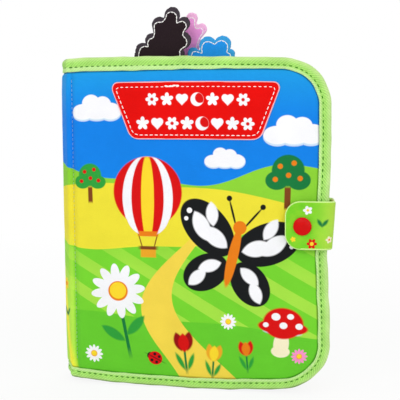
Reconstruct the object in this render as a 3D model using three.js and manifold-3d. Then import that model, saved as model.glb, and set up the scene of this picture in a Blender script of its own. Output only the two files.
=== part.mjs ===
// A baby's soft cloth book, closed and standing upright, in millimetres.
// +X runs from the spine to the fore-edge, -Y is the front, +Z is up.
// Two padded covers and a padded spine fold at two sewn creases, four padded leaves turn on
// cloth stubs inside the spine, and a strap snaps the front cover shut.

import * as THREE from 'three';
import { mergeVertices } from 'three/addons/utils/BufferGeometryUtils.js';
import Module from 'manifold-3d';

const wasm = await Module();
wasm.setup();

// Driving dimensions of the book
const cover_width = 192;
const cover_height = 245;
const cover_corner_radius = 33;
const cover_pitch = 36;
const spine_bulge = 12;
const leaf_pitch = 6.9;
const leaf_count = 4;

// Clearances
const cloth_gap = 0.3;
const overrun = 2;

// Cover layers, measured from the cover's mid-plane
const cover_core_half = 1.8;
const cover_cloth = 0.8;
const cover_tape = 0.8;
const cover_tape_width = 10;
const outer_crown = 1.8;
const inner_crown = 1.2;
const plateau_share = 0.6;
const crown_line_shares = [0.6, 0.75, 0.88, 1];

// Spine layers
const spine_core_half = 1.7;
const spine_cloth = 0.6;
const spine_tape = 0.7;

// Sewn folds between the covers and the spine
const fold_radius = 1;
const fold_relief = 0.4;

// Leaves
const leaf_core_half = 1.2;
const leaf_cloth = 0.6;
const leaf_tape = 0.7;
const leaf_tape_width = 8;
const leaf_inset = 4;
const leaf_fore_inset = 5;
const leaf_hinge_gap = 0.4;
const leaf_hinge_relief = 0.15;
const leaf_hem = 3.4;
const stub_half = 0.8;
const stub_end_gap = 0.3;

// Felt shapes, sewn into the top of the leaves
const felt_ply = leaf_core_half;
const felt_root = 12;
const lobe_segments = 16;
const black_felt_place = 45;
const black_felt_width = 43;
const black_felt_rise = 36.5;
const blue_felt_place = 84.4;
const blue_felt_width = 35.4;
const blue_felt_rise = 15.6;
const pink_felt_place = 68.7;
const pink_felt_width = 29.5;
const pink_felt_rise = 33.1;

// Title patch: a trapezoid, wider at its top
const patch_margin = 27;
const patch_taper = 11.5;
const patch_height = 43;
const patch_offset = 1.8;
const patch_drop = 18;
const patch_cloth = 0.9;
const patch_top_radius = 3.5;
const patch_bottom_radius = 9;

// Closing strap
const strap_height = 36.5;
const strap_centre = 124;
const strap_half = 1;
const strap_standoff = 0.5;
const tab_reach = 32;
const tab_corner_radius = 11;
const tail_length = 40;
const tail_seat = 5;

// Snap fastener of the strap
const snap_from_tab_end = 12.5;
const cap_radius = 6.2;
const cap_rise = 1.6;
const cap_edge = 0.7;
const stud_cap_thick = 0.9;
const stud_cap_seat = 1.2;
const post_radius = 1.5;
const post_into_socket = 0.4;
const snap_radius = 5.3;
const stud_base = 0.8;
const stud_nose = 2;
const stud_nose_radius = 2.1;
const stud_nose_tip_radius = 1.4;
const stud_neck_radius = 1.9;
const stud_bore = 1.2;
const stud_bore_radius = 1.65;
const stud_post_end = 0.3;
const socket_depth = 2.4;
const socket_recess = 1.9;
const socket_recess_radius = 2.6;
const socket_hole_radius = 1.8;
const socket_rim_fillet = 0.5;
const snap_segments = 20;

// Smoothness: an arc of an outline is drawn with twice this many chords
const corner_steps = 8;
const spine_steps = 28;

// Heights of the cover's layers over its mid-plane, where the crown is zero
const cover_print_low = cover_core_half + cloth_gap;
const cover_print_high = cover_print_low + cover_cloth;
const cover_channel_half = cover_print_high + cloth_gap;
const cover_half = cover_channel_half + cover_tape;
const layer_inset = cover_tape + cloth_gap;

// Heights of the leaf's layers over its mid-plane
const leaf_cloth_low = leaf_core_half + cloth_gap;
const leaf_cloth_high = leaf_cloth_low + leaf_cloth;
const leaf_channel_half = leaf_cloth_high + cloth_gap;
const leaf_half = leaf_channel_half + leaf_tape;
const leaf_layer_inset = leaf_tape + cloth_gap;
const leaf_width = cover_width - leaf_fore_inset;
const leaf_corner_radius = cover_corner_radius - leaf_inset;

// The spine's mid-line is an arc through both folds
const half_pitch = cover_pitch / 2;
const spine_radius = (half_pitch ** 2 + spine_bulge ** 2) / (2 * spine_bulge);
const spine_centre = spine_radius - spine_bulge;
const spine_cloth_inner = spine_core_half + cloth_gap;
const spine_cloth_outer = spine_cloth_inner + spine_cloth;
const spine_channel_half = spine_cloth_outer + cloth_gap;
const spine_half = spine_channel_half + spine_tape;
const spine_layer_inset = spine_tape + cloth_gap;

// Places along the strap and through the snap, as heights over the front cover's mid-plane
const strap_low = strap_centre - strap_height / 2;
const strap_high = strap_centre + strap_height / 2;
const strap_x = cover_width + strap_standoff + strap_half;
const fold_start = fold_radius + cloth_gap;
const strap_end = strap_half + cloth_gap;
const tab_end = cover_width - tab_reach;
const snap_x = tab_end + snap_from_tab_end;
const far = 2 * (cover_width + cover_height);

// The window that the binding leaves, and the patch inside it
const window_width = cover_width - cover_tape_width;
const window_height = cover_height - 2 * cover_tape_width;
const patch_centre = window_width / 2 + patch_offset;
const patch_top_width = window_width - 2 * patch_margin;
const patch_bottom_width = patch_top_width - 2 * patch_taper;

// How high the pad's crown stands at a place on the cover, as a share of its full crown

function riseShare(distance, half) {
  const along = Math.min(Math.abs(distance) / half, 1);
  const past = Math.max(along - plateau_share, 0) / (1 - plateau_share);
  return 1 - past ** 2;
}

function crownShare(x, z) {
  const across = riseShare(x - window_width / 2, window_width / 2);
  const up = riseShare(z - cover_height / 2, window_height / 2);
  return across * up;
}

const stud_seat = cover_print_high + cloth_gap
  + outer_crown * crownShare(snap_x - snap_radius, strap_centre);
const stud_top = stud_seat + stud_base;
const socket_low = stud_top + cloth_gap;
const socket_high = socket_low + socket_depth;
const tab_mid = socket_high + strap_half;
const tab_high = tab_mid + strap_half;
const tab_y = -half_pitch - tab_mid;
const tail_y = half_pitch + tail_seat + strap_half;

// Materials
const finish = {};

function addFinish(name, colour, roughness, metalness = 0) {
  finish[name] = new THREE.MeshStandardMaterial({ color: colour, roughness, metalness });
  finish[name].name = name;
}

addFinish('cover_print', 0x8fc63a, 0.8);
addFinish('lining', 0xf2d94a, 0.85);
addFinish('foam', 0xf4f1e6, 0.95);
addFinish('tape', 0xb4eb78, 0.85);
addFinish('leaf_cloth', 0x9ad7f2, 0.85);
addFinish('leaf_tape', 0xf0a030, 0.85);
addFinish('black_felt', 0x282022, 1);
addFinish('blue_felt', 0x238ceb, 1);
addFinish('pink_felt', 0xfa96e1, 1);
addFinish('patch', 0xe10f0f, 0.8);
addFinish('strap', 0x78d22d, 0.8);
addFinish('red_plastic', 0xd2140f, 0.3);
addFinish('clear_plastic', 0xe8e6e0, 0.35);

// Solid tools: a closed geometry becomes a solid, is cut or joined, and becomes a mesh again
function solidOf(geometry) {
  const bare = geometry.clone();
  bare.deleteAttribute('normal');
  bare.deleteAttribute('uv');
  const merged = mergeVertices(bare);
  return new wasm.Manifold(new wasm.Mesh({
    numProp: 3,
    vertProperties: merged.getAttribute('position').array,
    triVerts: Uint32Array.from(merged.index.array),
  }));
}

function meshOf(name, solid, material) {
  const body = solid.getMesh();
  const geometry = new THREE.BufferGeometry();
  geometry.setAttribute('position', new THREE.BufferAttribute(body.vertProperties, 3));
  geometry.setIndex(new THREE.BufferAttribute(body.triVerts, 1));
  geometry.computeVertexNormals();
  const mesh = new THREE.Mesh(geometry, material);
  mesh.name = name;
  return mesh;
}

// A plate has its outline in X and Z and its thickness along Y
function plate(outline, y_low, y_high) {
  const geometry = new THREE.ExtrudeGeometry(outline, {
    depth: y_high - y_low, bevelEnabled: false, curveSegments: corner_steps,
  });
  geometry.rotateX(Math.PI / 2);
  geometry.translate(0, y_high, 0);
  return solidOf(geometry);
}

// A post has its outline in X and Y and its length along Z
function post(outline, z_low, z_high, steps = corner_steps) {
  const geometry = new THREE.ExtrudeGeometry(outline, {
    depth: z_high - z_low, bevelEnabled: false, curveSegments: steps,
  });
  geometry.translate(0, 0, z_low);
  return solidOf(geometry);
}

function polygon(points) {
  return new THREE.Shape(points.map(([x, y]) => new THREE.Vector2(x, y)));
}

function rectangle(x_low, x_high, y_low, y_high) {
  return polygon([[x_low, y_low], [x_high, y_low], [x_high, y_high], [x_low, y_high]]);
}

// A page outline is square at the fold and round at the two corners of the fore-edge
function pageOutline(x_low, x_high, z_low, z_high, radius) {
  const outline = new THREE.Shape();
  outline.moveTo(x_low, z_low);
  outline.lineTo(x_high - radius, z_low);
  outline.absarc(x_high - radius, z_low + radius, radius, -Math.PI / 2, 0, false);
  outline.absarc(x_high - radius, z_high - radius, radius, 0, Math.PI / 2, false);
  outline.lineTo(x_low, z_high);
  outline.closePath();
  return outline;
}

function coverOutline(inset) {
  return pageOutline(0, cover_width - inset, inset, cover_height - inset, cover_corner_radius - inset);
}

// A turned piece has its profile of radius and height, and its axis along -Y
function turned(profile, x, z) {
  const points = profile.map(([radius, height]) => new THREE.Vector2(radius, height));
  const geometry = new THREE.LatheGeometry(points, snap_segments);
  geometry.rotateX(Math.PI);
  geometry.translate(x, 0, z);
  return solidOf(geometry);
}

// Cover pads: closed grids between two crowned surfaces, cut to an outline
function crownLines(centre, half, low, high) {
  const lines = new Set([low, centre, high]);
  for (const share of crown_line_shares) {
    lines.add(centre - share * half);
    lines.add(centre + share * half);
  }
  return [...lines].filter((line) => line >= low && line <= high).sort((a, b) => a - b);
}

const grid_x = crownLines(window_width / 2, window_width / 2, -overrun, cover_width + overrun);
const grid_z = crownLines(cover_height / 2, window_height / 2, -overrun, cover_height + overrun);

// Heights are counted outward: side -1 puts the outside at -Y, and side 1 at +Y
function crownedSlab(lowHeight, highHeight, side) {
  const columns = grid_x.length;
  const rows = grid_z.length;
  const positions = [];
  const faces = [];
  for (const height of [lowHeight, highHeight]) {
    for (const z of grid_z) {
      for (const x of grid_x) {
        positions.push(x, side * height(x, z), z);
      }
    }
  }
  const layer = columns * rows;
  const quad = (a, b, c, d) => {
    if (side < 0) {
      faces.push(a, b, c, a, c, d);
    } else {
      faces.push(a, c, b, a, d, c);
    }
  };
  for (let row = 0; row < rows - 1; row += 1) {
    for (let column = 0; column < columns - 1; column += 1) {
      const a = row * columns + column;
      quad(a, a + columns, a + columns + 1, a + 1);
      quad(layer + a, layer + a + 1, layer + a + columns + 1, layer + a + columns);
    }
  }
  for (let column = 0; column < columns - 1; column += 1) {
    const top = (rows - 1) * columns + column;
    quad(column, column + 1, layer + column + 1, layer + column);
    quad(top + 1, top, layer + top, layer + top + 1);
  }
  for (let row = 0; row < rows - 1; row += 1) {
    const left = row * columns;
    const right = left + columns - 1;
    quad(left + columns, left, layer + left, layer + left + columns);
    quad(right, right + columns, layer + right + columns, layer + right);
  }
  const geometry = new THREE.BufferGeometry();
  geometry.setAttribute('position', new THREE.Float32BufferAttribute(positions, 3));
  geometry.setIndex(faces);
  return solidOf(geometry);
}

// Each side of a fold is beveled, so that the cover can fold right back
function coverWedge() {
  const near = fold_start - fold_relief;
  return post(polygon([
    [fold_start, -near], [far, -far], [far, far], [fold_start, near],
  ]), -overrun, cover_height + overrun);
}

const outerPrint = (x, z) => cover_print_high + outer_crown * crownShare(x, z);
const outerPrintUnder = (x, z) => cover_print_low + outer_crown * crownShare(x, z);
const outerCore = (x, z) => cover_core_half + outer_crown * crownShare(x, z);
const innerCore = (x, z) => -cover_core_half - inner_crown * crownShare(x, z);
const liningOver = (x, z) => -cover_print_low - inner_crown * crownShare(x, z);
const lining = (x, z) => -cover_print_high - inner_crown * crownShare(x, z);

function coverLayer(lowHeight, highHeight, side) {
  const outline = plate(coverOutline(layer_inset), -far, far);
  return crownedSlab(lowHeight, highHeight, side).intersect(outline).intersect(coverWedge());
}

function coverBinding() {
  const over = cover_half + overrun;
  const window = pageOutline(
    -overrun,
    cover_width - cover_tape_width,
    cover_tape_width,
    cover_height - cover_tape_width,
    cover_corner_radius - cover_tape_width,
  );
  const channel = pageOutline(
    -overrun,
    cover_width - cover_tape,
    cover_tape,
    cover_height - cover_tape,
    cover_corner_radius - cover_tape,
  );
  return plate(coverOutline(0), -cover_half, cover_half)
    .subtract(plate(window, -over, over))
    .subtract(plate(channel, -cover_channel_half, cover_channel_half))
    .intersect(coverWedge());
}

// Back cover, which carries the spine and the strap
function backCover() {
  const cover = new THREE.Group();
  cover.position.set(0, half_pitch, 0);
  cover.add(meshOf('back_print', coverLayer(outerPrintUnder, outerPrint, 1), finish.cover_print));
  cover.add(meshOf('back_core', coverLayer(innerCore, outerCore, 1), finish.foam));
  cover.add(meshOf('back_lining', coverLayer(lining, liningOver, 1), finish.lining));
  cover.add(meshOf('back_binding', coverBinding(), finish.tape));
  const tail = rectangle(cover_width - tail_length, strap_x - strap_end, strap_low, strap_high);
  cover.add(meshOf(
    'strap_tail',
    plate(tail, tail_seat, tail_seat + 2 * strap_half),
    finish.strap,
  ));
  return cover;
}

// Title patch, sewn on the front print and following its crown
function patchOutline() {
  const top = cover_height - patch_drop;
  const bottom = top - patch_height;
  const corners = [
    [patch_centre - patch_bottom_width / 2, bottom, patch_bottom_radius],
    [patch_centre + patch_bottom_width / 2, bottom, patch_bottom_radius],
    [patch_centre + patch_top_width / 2, top, patch_top_radius],
    [patch_centre - patch_top_width / 2, top, patch_top_radius],
  ];
  const outline = new THREE.Shape();
  corners.forEach(([x, z, radius], index) => {
    const here = new THREE.Vector2(x, z);
    const before = corners[(index + 3) % 4];
    const after = corners[(index + 1) % 4];
    const back = new THREE.Vector2(before[0], before[1]).sub(here).setLength(radius).add(here);
    const on = new THREE.Vector2(after[0], after[1]).sub(here).setLength(radius).add(here);
    if (index === 0) {
      outline.moveTo(back.x, back.y);
    } else {
      outline.lineTo(back.x, back.y);
    }
    outline.quadraticCurveTo(x, z, on.x, on.y);
  });
  outline.closePath();
  return outline;
}

function titlePatch() {
  const low = (x, z) => outerPrint(x, z) + cloth_gap;
  const high = (x, z) => low(x, z) + patch_cloth;
  return crownedSlab(low, high, -1).intersect(plate(patchOutline(), -far, far));
}

// The stud's back cap lies under the print, and its post goes through into the stud
function studCap() {
  const top = stud_cap_seat + stud_cap_thick;
  const post_top = stud_seat + stud_bore - stud_post_end;
  return turned([
    [0, stud_cap_seat], [cap_radius, stud_cap_seat], [cap_radius, top],
    [post_radius, top], [post_radius, post_top], [0, post_top],
  ], snap_x, strap_centre);
}

function studBody() {
  const tip = stud_top + stud_nose;
  return turned([
    [stud_bore_radius, stud_seat], [snap_radius, stud_seat], [snap_radius, stud_top],
    [stud_neck_radius, stud_top], [stud_nose_radius, stud_top + stud_nose / 2],
    [stud_nose_tip_radius, tip], [0, tip],
    [0, stud_seat + stud_bore], [stud_bore_radius, stud_seat + stud_bore],
    [stud_bore_radius, stud_seat],
  ], snap_x, strap_centre);
}

function disc(radius, low, high) {
  return turned([[0, low], [radius, low], [radius, high], [0, high]], snap_x, strap_centre);
}

// Front cover, turning about the front fold at its own origin
function frontCover() {
  const cover = new THREE.Group();
  cover.position.set(0, -half_pitch, 0);
  const post_hole = disc(post_radius + cloth_gap, -far, far);
  const recess = disc(cap_radius + cloth_gap, stud_cap_seat - cloth_gap, far);
  const print = coverLayer(outerPrintUnder, outerPrint, -1).subtract(post_hole);
  const core = coverLayer(innerCore, outerCore, -1).subtract(recess);
  cover.add(meshOf('front_print', print, finish.cover_print));
  cover.add(meshOf('front_core', core, finish.foam));
  cover.add(meshOf('front_lining', coverLayer(lining, liningOver, -1), finish.lining));
  cover.add(meshOf('front_binding', coverBinding(), finish.tape));
  cover.add(meshOf('title_patch', titlePatch(), finish.patch));
  cover.add(meshOf('snap_stud', studBody(), finish.clear_plastic));
  cover.add(meshOf('stud_cap', studCap(), finish.clear_plastic));
  return cover;
}

// Spine: arcs about one centre, cut back from both folds
function spineRegion() {
  const near = fold_start - fold_relief;
  return post(polygon([
    [-fold_start, -half_pitch - near], [-fold_start, half_pitch + near],
    [-far, half_pitch + far], [-far, -half_pitch - far],
  ]), -overrun, cover_height + overrun);
}

function spineArc(inner, outer, z_low, z_high) {
  const ring = new THREE.Shape();
  ring.absarc(spine_centre, 0, spine_radius + outer, 0, 2 * Math.PI, false);
  const hole = new THREE.Path();
  hole.absarc(spine_centre, 0, spine_radius + inner, 0, 2 * Math.PI, true);
  ring.holes.push(hole);
  return post(ring, z_low, z_high, spine_steps);
}

function spineLayer(inner, outer) {
  const arc = spineArc(inner, outer, spine_layer_inset, cover_height - spine_layer_inset);
  return arc.intersect(spineRegion());
}

function spineBinding(z_low, z_high, channel_low, channel_high) {
  return spineArc(-spine_half, spine_half, z_low, z_high)
    .subtract(spineArc(-spine_channel_half, spine_channel_half, channel_low, channel_high))
    .intersect(spineRegion());
}

function foldRod(y) {
  const section = new THREE.Shape();
  section.absarc(0, y, fold_radius, 0, 2 * Math.PI, false);
  return post(section, 0, cover_height, corner_steps);
}

function leafPlace(index) {
  return (index - (leaf_count - 1) / 2) * leaf_pitch;
}

// A leaf's stub is sewn to the spine lining, between the spine's two bindings, and ends just
// short of the leaf's hinge line
function leafStub(y) {
  const reach = spine_centre - spine_radius;
  const strip = post(
    rectangle(reach, -stub_end_gap, y - stub_half, y + stub_half),
    cover_tape_width + cloth_gap,
    cover_height - cover_tape_width - cloth_gap,
  );
  const round = new THREE.Shape();
  round.absarc(spine_centre, 0, spine_radius - spine_cloth_outer - cloth_gap, 0, 2 * Math.PI, false);
  return strip.intersect(post(round, 0, cover_height, spine_steps));
}

function spine() {
  const body = new THREE.Group();
  const top = cover_height - cover_tape_width;
  body.add(meshOf('spine_print', spineLayer(spine_cloth_inner, spine_cloth_outer), finish.cover_print));
  body.add(meshOf('spine_core', spineLayer(-spine_core_half, spine_core_half), finish.foam));
  body.add(meshOf('spine_lining', spineLayer(-spine_cloth_outer, -spine_cloth_inner), finish.lining));
  body.add(meshOf(
    'spine_top_binding',
    spineBinding(top, cover_height, top - overrun, cover_height - spine_tape),
    finish.tape,
  ));
  body.add(meshOf(
    'spine_bottom_binding',
    spineBinding(0, cover_tape_width, spine_tape, cover_tape_width + overrun),
    finish.tape,
  ));
  body.add(meshOf('front_fold', foldRod(-half_pitch), finish.cover_print));
  body.add(meshOf('rear_fold', foldRod(half_pitch), finish.cover_print));
  for (let index = 0; index < leaf_count; index += 1) {
    body.add(meshOf(`leaf_${index + 1}_stub`, leafStub(leafPlace(index)), finish.leaf_tape));
  }
  return body;
}

// Felt shapes: each is a row of round lobes with one body behind them, in two plies.
// A lobe is its place across the shape, its height over the cover, and its radius by the width.
const felts = [
  {
    name: 'black', left: black_felt_place, width: black_felt_width, rise: black_felt_rise,
    base_share: 0.886,
    lobe_shares: [
      [0.156, 0.151, 0.142], [0.309, 0.362, 0.116], [0.453, 0.658, 0.135],
      [0.677, 0.841, 0.133], [0.877, 0.674, 0.109], [0.863, 0.348, 0.14],
    ],
  },
  {
    name: 'blue', left: blue_felt_place, width: blue_felt_width, rise: blue_felt_rise,
    base_share: 1,
    lobe_shares: [
      [0.124, 0.22, 0.124], [0.435, 0.565, 0.181], [0.743, 0.59, 0.178], [0.895, 0.155, 0.105],
    ],
  },
  {
    name: 'pink', left: pink_felt_place, width: pink_felt_width, rise: pink_felt_rise,
    base_share: 0.72,
    lobe_shares: [
      [0.17, 0.24, 0.17], [0.153, 0.5, 0.153], [0.31, 0.76, 0.15],
      [0.617, 0.87, 0.146], [0.864, 0.638, 0.136],
    ],
  },
];

function feltOutline(felt) {
  const place = ([across, up]) => [felt.left + across * felt.width, cover_height + up * felt.rise];
  const root = cover_height - leaf_inset - felt_root;
  const points = felt.lobe_shares.map(place);
  const base_right = felt.left + felt.base_share * felt.width;
  return polygon([[felt.left, root], ...points, [base_right, cover_height], [base_right, root]].reverse());
}

function feltPly(felt, y_low, y_high) {
  let ply = plate(feltOutline(felt), y_low, y_high);
  for (const [across, up, radius_share] of felt.lobe_shares) {
    const lobe = new THREE.CylinderGeometry(
      radius_share * felt.width,
      radius_share * felt.width,
      y_high - y_low,
      lobe_segments,
    );
    lobe.translate(
      felt.left + across * felt.width,
      (y_low + y_high) / 2,
      cover_height + up * felt.rise,
    );
    ply = ply.add(solidOf(lobe));
  }
  return ply;
}

function feltPocket(felt) {
  const root = cover_height - leaf_inset - felt_root;
  const slot = rectangle(
    felt.left - cloth_gap,
    felt.left + felt.width + cloth_gap,
    root - cloth_gap,
    cover_height + overrun,
  );
  return plate(slot, -felt_ply - cloth_gap, felt_ply + cloth_gap);
}

// Leaves, each turning about its own origin at the end of its stub
function leafWedge() {
  const near = leaf_hinge_gap - leaf_hinge_relief;
  return post(polygon([
    [leaf_hinge_gap, -near], [far, -far], [far, far], [leaf_hinge_gap, near],
  ]), -overrun, cover_height + overrun);
}

function leafOutline(x_low, inset) {
  return pageOutline(
    x_low,
    leaf_width - inset,
    leaf_inset + inset,
    cover_height - leaf_inset - inset,
    leaf_corner_radius - inset,
  );
}

function leafBinding() {
  const over = leaf_half + overrun;
  const window = leafOutline(leaf_tape_width, leaf_tape_width);
  return plate(leafOutline(0, 0), -leaf_half, leaf_half)
    .subtract(plate(window, -over, over))
    .subtract(plate(leafOutline(leaf_hem, leaf_tape), -leaf_channel_half, leaf_channel_half))
    .intersect(leafWedge());
}

function leafLayer(y_low, y_high) {
  return plate(leafOutline(leaf_hem + cloth_gap, leaf_layer_inset), y_low, y_high);
}

function leaf(index) {
  const name = `leaf_${index + 1}`;
  const felt = felts[index];
  const body = new THREE.Group();
  body.position.set(0, leafPlace(index), 0);
  let core = leafLayer(-leaf_core_half, leaf_core_half);
  let binding = leafBinding();
  if (felt) {
    const pocket = feltPocket(felt);
    core = core.subtract(pocket);
    binding = binding.subtract(pocket);
    const material = finish[`${felt.name}_felt`];
    body.add(meshOf(`${felt.name}_felt_front`, feltPly(felt, -felt_ply, 0), material));
    body.add(meshOf(`${felt.name}_felt_back`, feltPly(felt, 0, felt_ply), material));
  }
  body.add(meshOf(`${name}_front_cloth`, leafLayer(-leaf_cloth_high, -leaf_cloth_low), finish.leaf_cloth));
  body.add(meshOf(`${name}_core`, core, finish.foam));
  body.add(meshOf(`${name}_back_cloth`, leafLayer(leaf_cloth_low, leaf_cloth_high), finish.leaf_cloth));
  body.add(meshOf(`${name}_binding`, binding, finish.leaf_tape));
  return body;
}

// Strap: the wrap turns at the rear corner of the fore-edge, the tab at the front corner
function wrap() {
  const section = new THREE.Shape();
  section.absarc(0, 0, strap_half, 0, Math.PI, false);
  section.absarc(0, tab_y - tail_y, strap_half, Math.PI, 2 * Math.PI, false);
  section.closePath();
  return post(section, strap_low, strap_high);
}

function tabOutline() {
  const outline = new THREE.Shape();
  const left = tab_end - strap_x;
  const radius = tab_corner_radius;
  outline.moveTo(-strap_end, strap_low);
  outline.lineTo(-strap_end, strap_high);
  outline.absarc(left + radius, strap_high - radius, radius, Math.PI / 2, Math.PI, false);
  outline.absarc(left + radius, strap_low + radius, radius, Math.PI, 1.5 * Math.PI, false);
  outline.closePath();
  return outline;
}

// The snap's pieces stand on the tab, so their heights count from the tab's mid-plane
function onTab(profile) {
  const lowered = profile.map(([radius, height]) => [radius, height - tab_mid]);
  return turned(lowered, snap_x - strap_x, strap_centre);
}

function snapCap() {
  return onTab([
    [0, socket_high - post_into_socket], [post_radius, socket_high - post_into_socket],
    [post_radius, tab_high], [cap_radius, tab_high], [cap_radius, tab_high + cap_edge],
    [cap_radius - cap_edge, tab_high + cap_rise - cap_edge / 2],
    [cap_radius / 2, tab_high + cap_rise], [0, tab_high + cap_rise],
  ]);
}

function snapSocket() {
  const recess_top = socket_low + socket_recess;
  return onTab([
    [socket_recess_radius, socket_low], [snap_radius - socket_rim_fillet, socket_low],
    [snap_radius, socket_low + socket_rim_fillet], [snap_radius, socket_high],
    [socket_hole_radius, socket_high], [socket_hole_radius, recess_top],
    [socket_recess_radius, recess_top], [socket_recess_radius, socket_low],
  ]);
}

function strap() {
  const wrapped = new THREE.Group();
  wrapped.position.set(strap_x, tail_y, 0);
  wrapped.add(meshOf('strap_wrap', wrap(), finish.strap));
  const tab = new THREE.Group();
  tab.position.set(0, tab_y - tail_y, 0);
  const hole = onTab([
    [0, socket_low], [post_radius + cloth_gap, socket_low],
    [post_radius + cloth_gap, tab_high + overrun], [0, tab_high + overrun],
  ]);
  const print = plate(tabOutline(), -strap_half, 0).subtract(hole);
  const backing = plate(tabOutline(), 0, strap_half).subtract(hole);
  tab.add(meshOf('strap_tab_print', print, finish.strap));
  tab.add(meshOf('strap_tab_lining', backing, finish.strap));
  tab.add(meshOf('snap_cap', snapCap(), finish.red_plastic));
  tab.add(meshOf('snap_socket', snapSocket(), finish.clear_plastic));
  wrapped.add(tab);
  return wrapped;
}

// The whole book, standing with the middle of its box's floor at the origin
const book = new THREE.Group();
book.add(backCover());
book.add(frontCover());
book.add(spine());
for (let index = 0; index < leaf_count; index += 1) {
  book.add(leaf(index));
}
book.add(strap());

const box = new THREE.Box3().setFromObject(book, true);
book.position.set(-(box.min.x + box.max.x) / 2, -(box.min.y + box.max.y) / 2, -box.min.z);
book.updateMatrixWorld(true);

export default book;
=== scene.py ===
"""A baby soft book: two padded covers with a folded spine, four cloth leaves and a snap strap.

Lengths are in millimetres until they become mesh points, which are in metres.
Along a cover, s runs from the spine fold to the fore-edge and is negative on the spine, z runs up,
and h stands out from the middle of the padding.
"""
import math

import bmesh
import bpy
import numpy as np
from mathutils import Matrix, Vector


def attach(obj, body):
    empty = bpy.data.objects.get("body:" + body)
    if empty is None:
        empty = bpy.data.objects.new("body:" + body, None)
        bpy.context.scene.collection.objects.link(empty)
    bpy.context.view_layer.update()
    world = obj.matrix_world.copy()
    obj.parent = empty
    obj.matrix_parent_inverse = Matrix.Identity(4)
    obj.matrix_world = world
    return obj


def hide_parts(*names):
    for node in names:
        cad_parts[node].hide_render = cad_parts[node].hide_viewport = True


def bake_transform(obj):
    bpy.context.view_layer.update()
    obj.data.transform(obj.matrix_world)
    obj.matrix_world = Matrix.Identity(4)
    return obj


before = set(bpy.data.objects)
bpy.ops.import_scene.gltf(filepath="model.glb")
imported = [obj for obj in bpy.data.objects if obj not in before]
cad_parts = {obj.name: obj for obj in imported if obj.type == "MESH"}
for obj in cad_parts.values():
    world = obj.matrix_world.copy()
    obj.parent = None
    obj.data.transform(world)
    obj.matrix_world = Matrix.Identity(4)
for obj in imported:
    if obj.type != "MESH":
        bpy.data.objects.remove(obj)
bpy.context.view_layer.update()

MM = 0.001

# The covers and the spine
FRONT, BACK = 1, -1
FOLD_X = -89.45
BOOK_MIDDLE_Y = 2.233
HALF_PITCH = 18.0
COVER_WIDTH = 192.0
COVER_HEIGHT = 245.0
HALF_HEIGHT = COVER_HEIGHT / 2
COVER_RADIUS = 35.5
COVER_OUTLINE = (COVER_WIDTH, 0, COVER_HEIGHT, COVER_RADIUS)
SPINE_RADIUS = 19.5
SPINE_CENTRE = 7.5
SPINE_ANGLE = math.atan2(HALF_PITCH, SPINE_CENTRE)
SPINE_REACH = SPINE_RADIUS * SPINE_ANGLE
SPINE_LEAN, SPINE_SHIFT = 0.7, 0.25
BACK_PRINT_SHIFT = 2 * SPINE_REACH
FOLD_BLEND = 2.5
FOLD_REACH = 4.0
FOLD_STEP = 0.5

# The tape, which shows wider along the top edge near the spine. Its seam is a share of its width.
TAPE_WIDTH = 8.3
TAPE_HALF = 4.15
TAPE_WALL = 0.7
TAPE_SEAM = 0.66
TAPE_EXTRA = 1.7
TAPE_EXTRA_Z = (205, 232)
TAPE_EXTRA_S = (40, 150)
STITCH_PITCH = 4.3

# The strap and its snap. The bends' places are seen from above, x from the fold.
STRAP_Z = 124.9
STRAP_HEIGHT = 35.0
STRAP_HALF = 1.0
STRAP_X = 193.5
STRAP_Y = {FRONT: -24.633, BACK: 26.233}
STRAP_CORNER_X = {FRONT: 194.1, BACK: 189.4}
STRAP_BEND = {FRONT: 7.0, BACK: 4.5}
STRAP_REACH = {FRONT: 33.5, BACK: 41.0}
STRAP_RADIUS = {FRONT: 11.0, BACK: 3.0}
STRAP_LEAN = 1.2
STRAP_SKEW = 2.8
SNAP_S = 172.5
SNAP_Z = 124.4

# The leaves
LEAF_WIDTH = 187.0
LEAF_LOW = 4.0
LEAF_HIGH = 241.0
LEAF_RADIUS = 29.0
LEAF_OUTLINE = (LEAF_WIDTH, LEAF_LOW, LEAF_HIGH, LEAF_RADIUS)
LEAF_TAPE_WIDTH = 8.0
LEAF_TAPE_HALF = 3.0
LEAF_TAPE_WALL = 0.6
LEAF_Y = (-8.117, -1.217, 5.683, 12.583)
GUTTER_START = (-8.6, -11.2, -11.2, -8.6)

CAMERA_LENS = 81.0
CAMERA_PLACE = (0.13601, -0.66112, 0.21581)
CAMERA_TURNS = ((11.3, "Z"), (83.53, "X"), (-0.475, "Z"))


def add_object(name, data):
    """An object in the scene that holds the given data."""
    made = bpy.data.objects.new(name, data)
    bpy.context.scene.collection.objects.link(made)
    return made


def make_camera():
    """The photograph's angle: a little to the right of the book and above its middle."""
    data = bpy.data.cameras.new("photo_camera")
    data.lens = CAMERA_LENS
    data.sensor_width = 36.0
    camera = add_object("photo_camera", data)
    place = Matrix.Translation(CAMERA_PLACE)
    for degrees, axis in CAMERA_TURNS:
        place = place @ Matrix.Rotation(math.radians(degrees), 4, axis)
    camera.matrix_world = place
    bpy.context.scene.camera = camera


def ink(red, green, blue):
    """A colour as it shows on screen, 0 to 255, as the scene colour that nodes take."""
    parts = [value / 255 for value in (red, green, blue)]
    linear = [p / 12.92 if p <= 0.04045 else ((p + 0.055) / 1.055) ** 2.4 for p in parts]
    return (*linear, 1.0)


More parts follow.
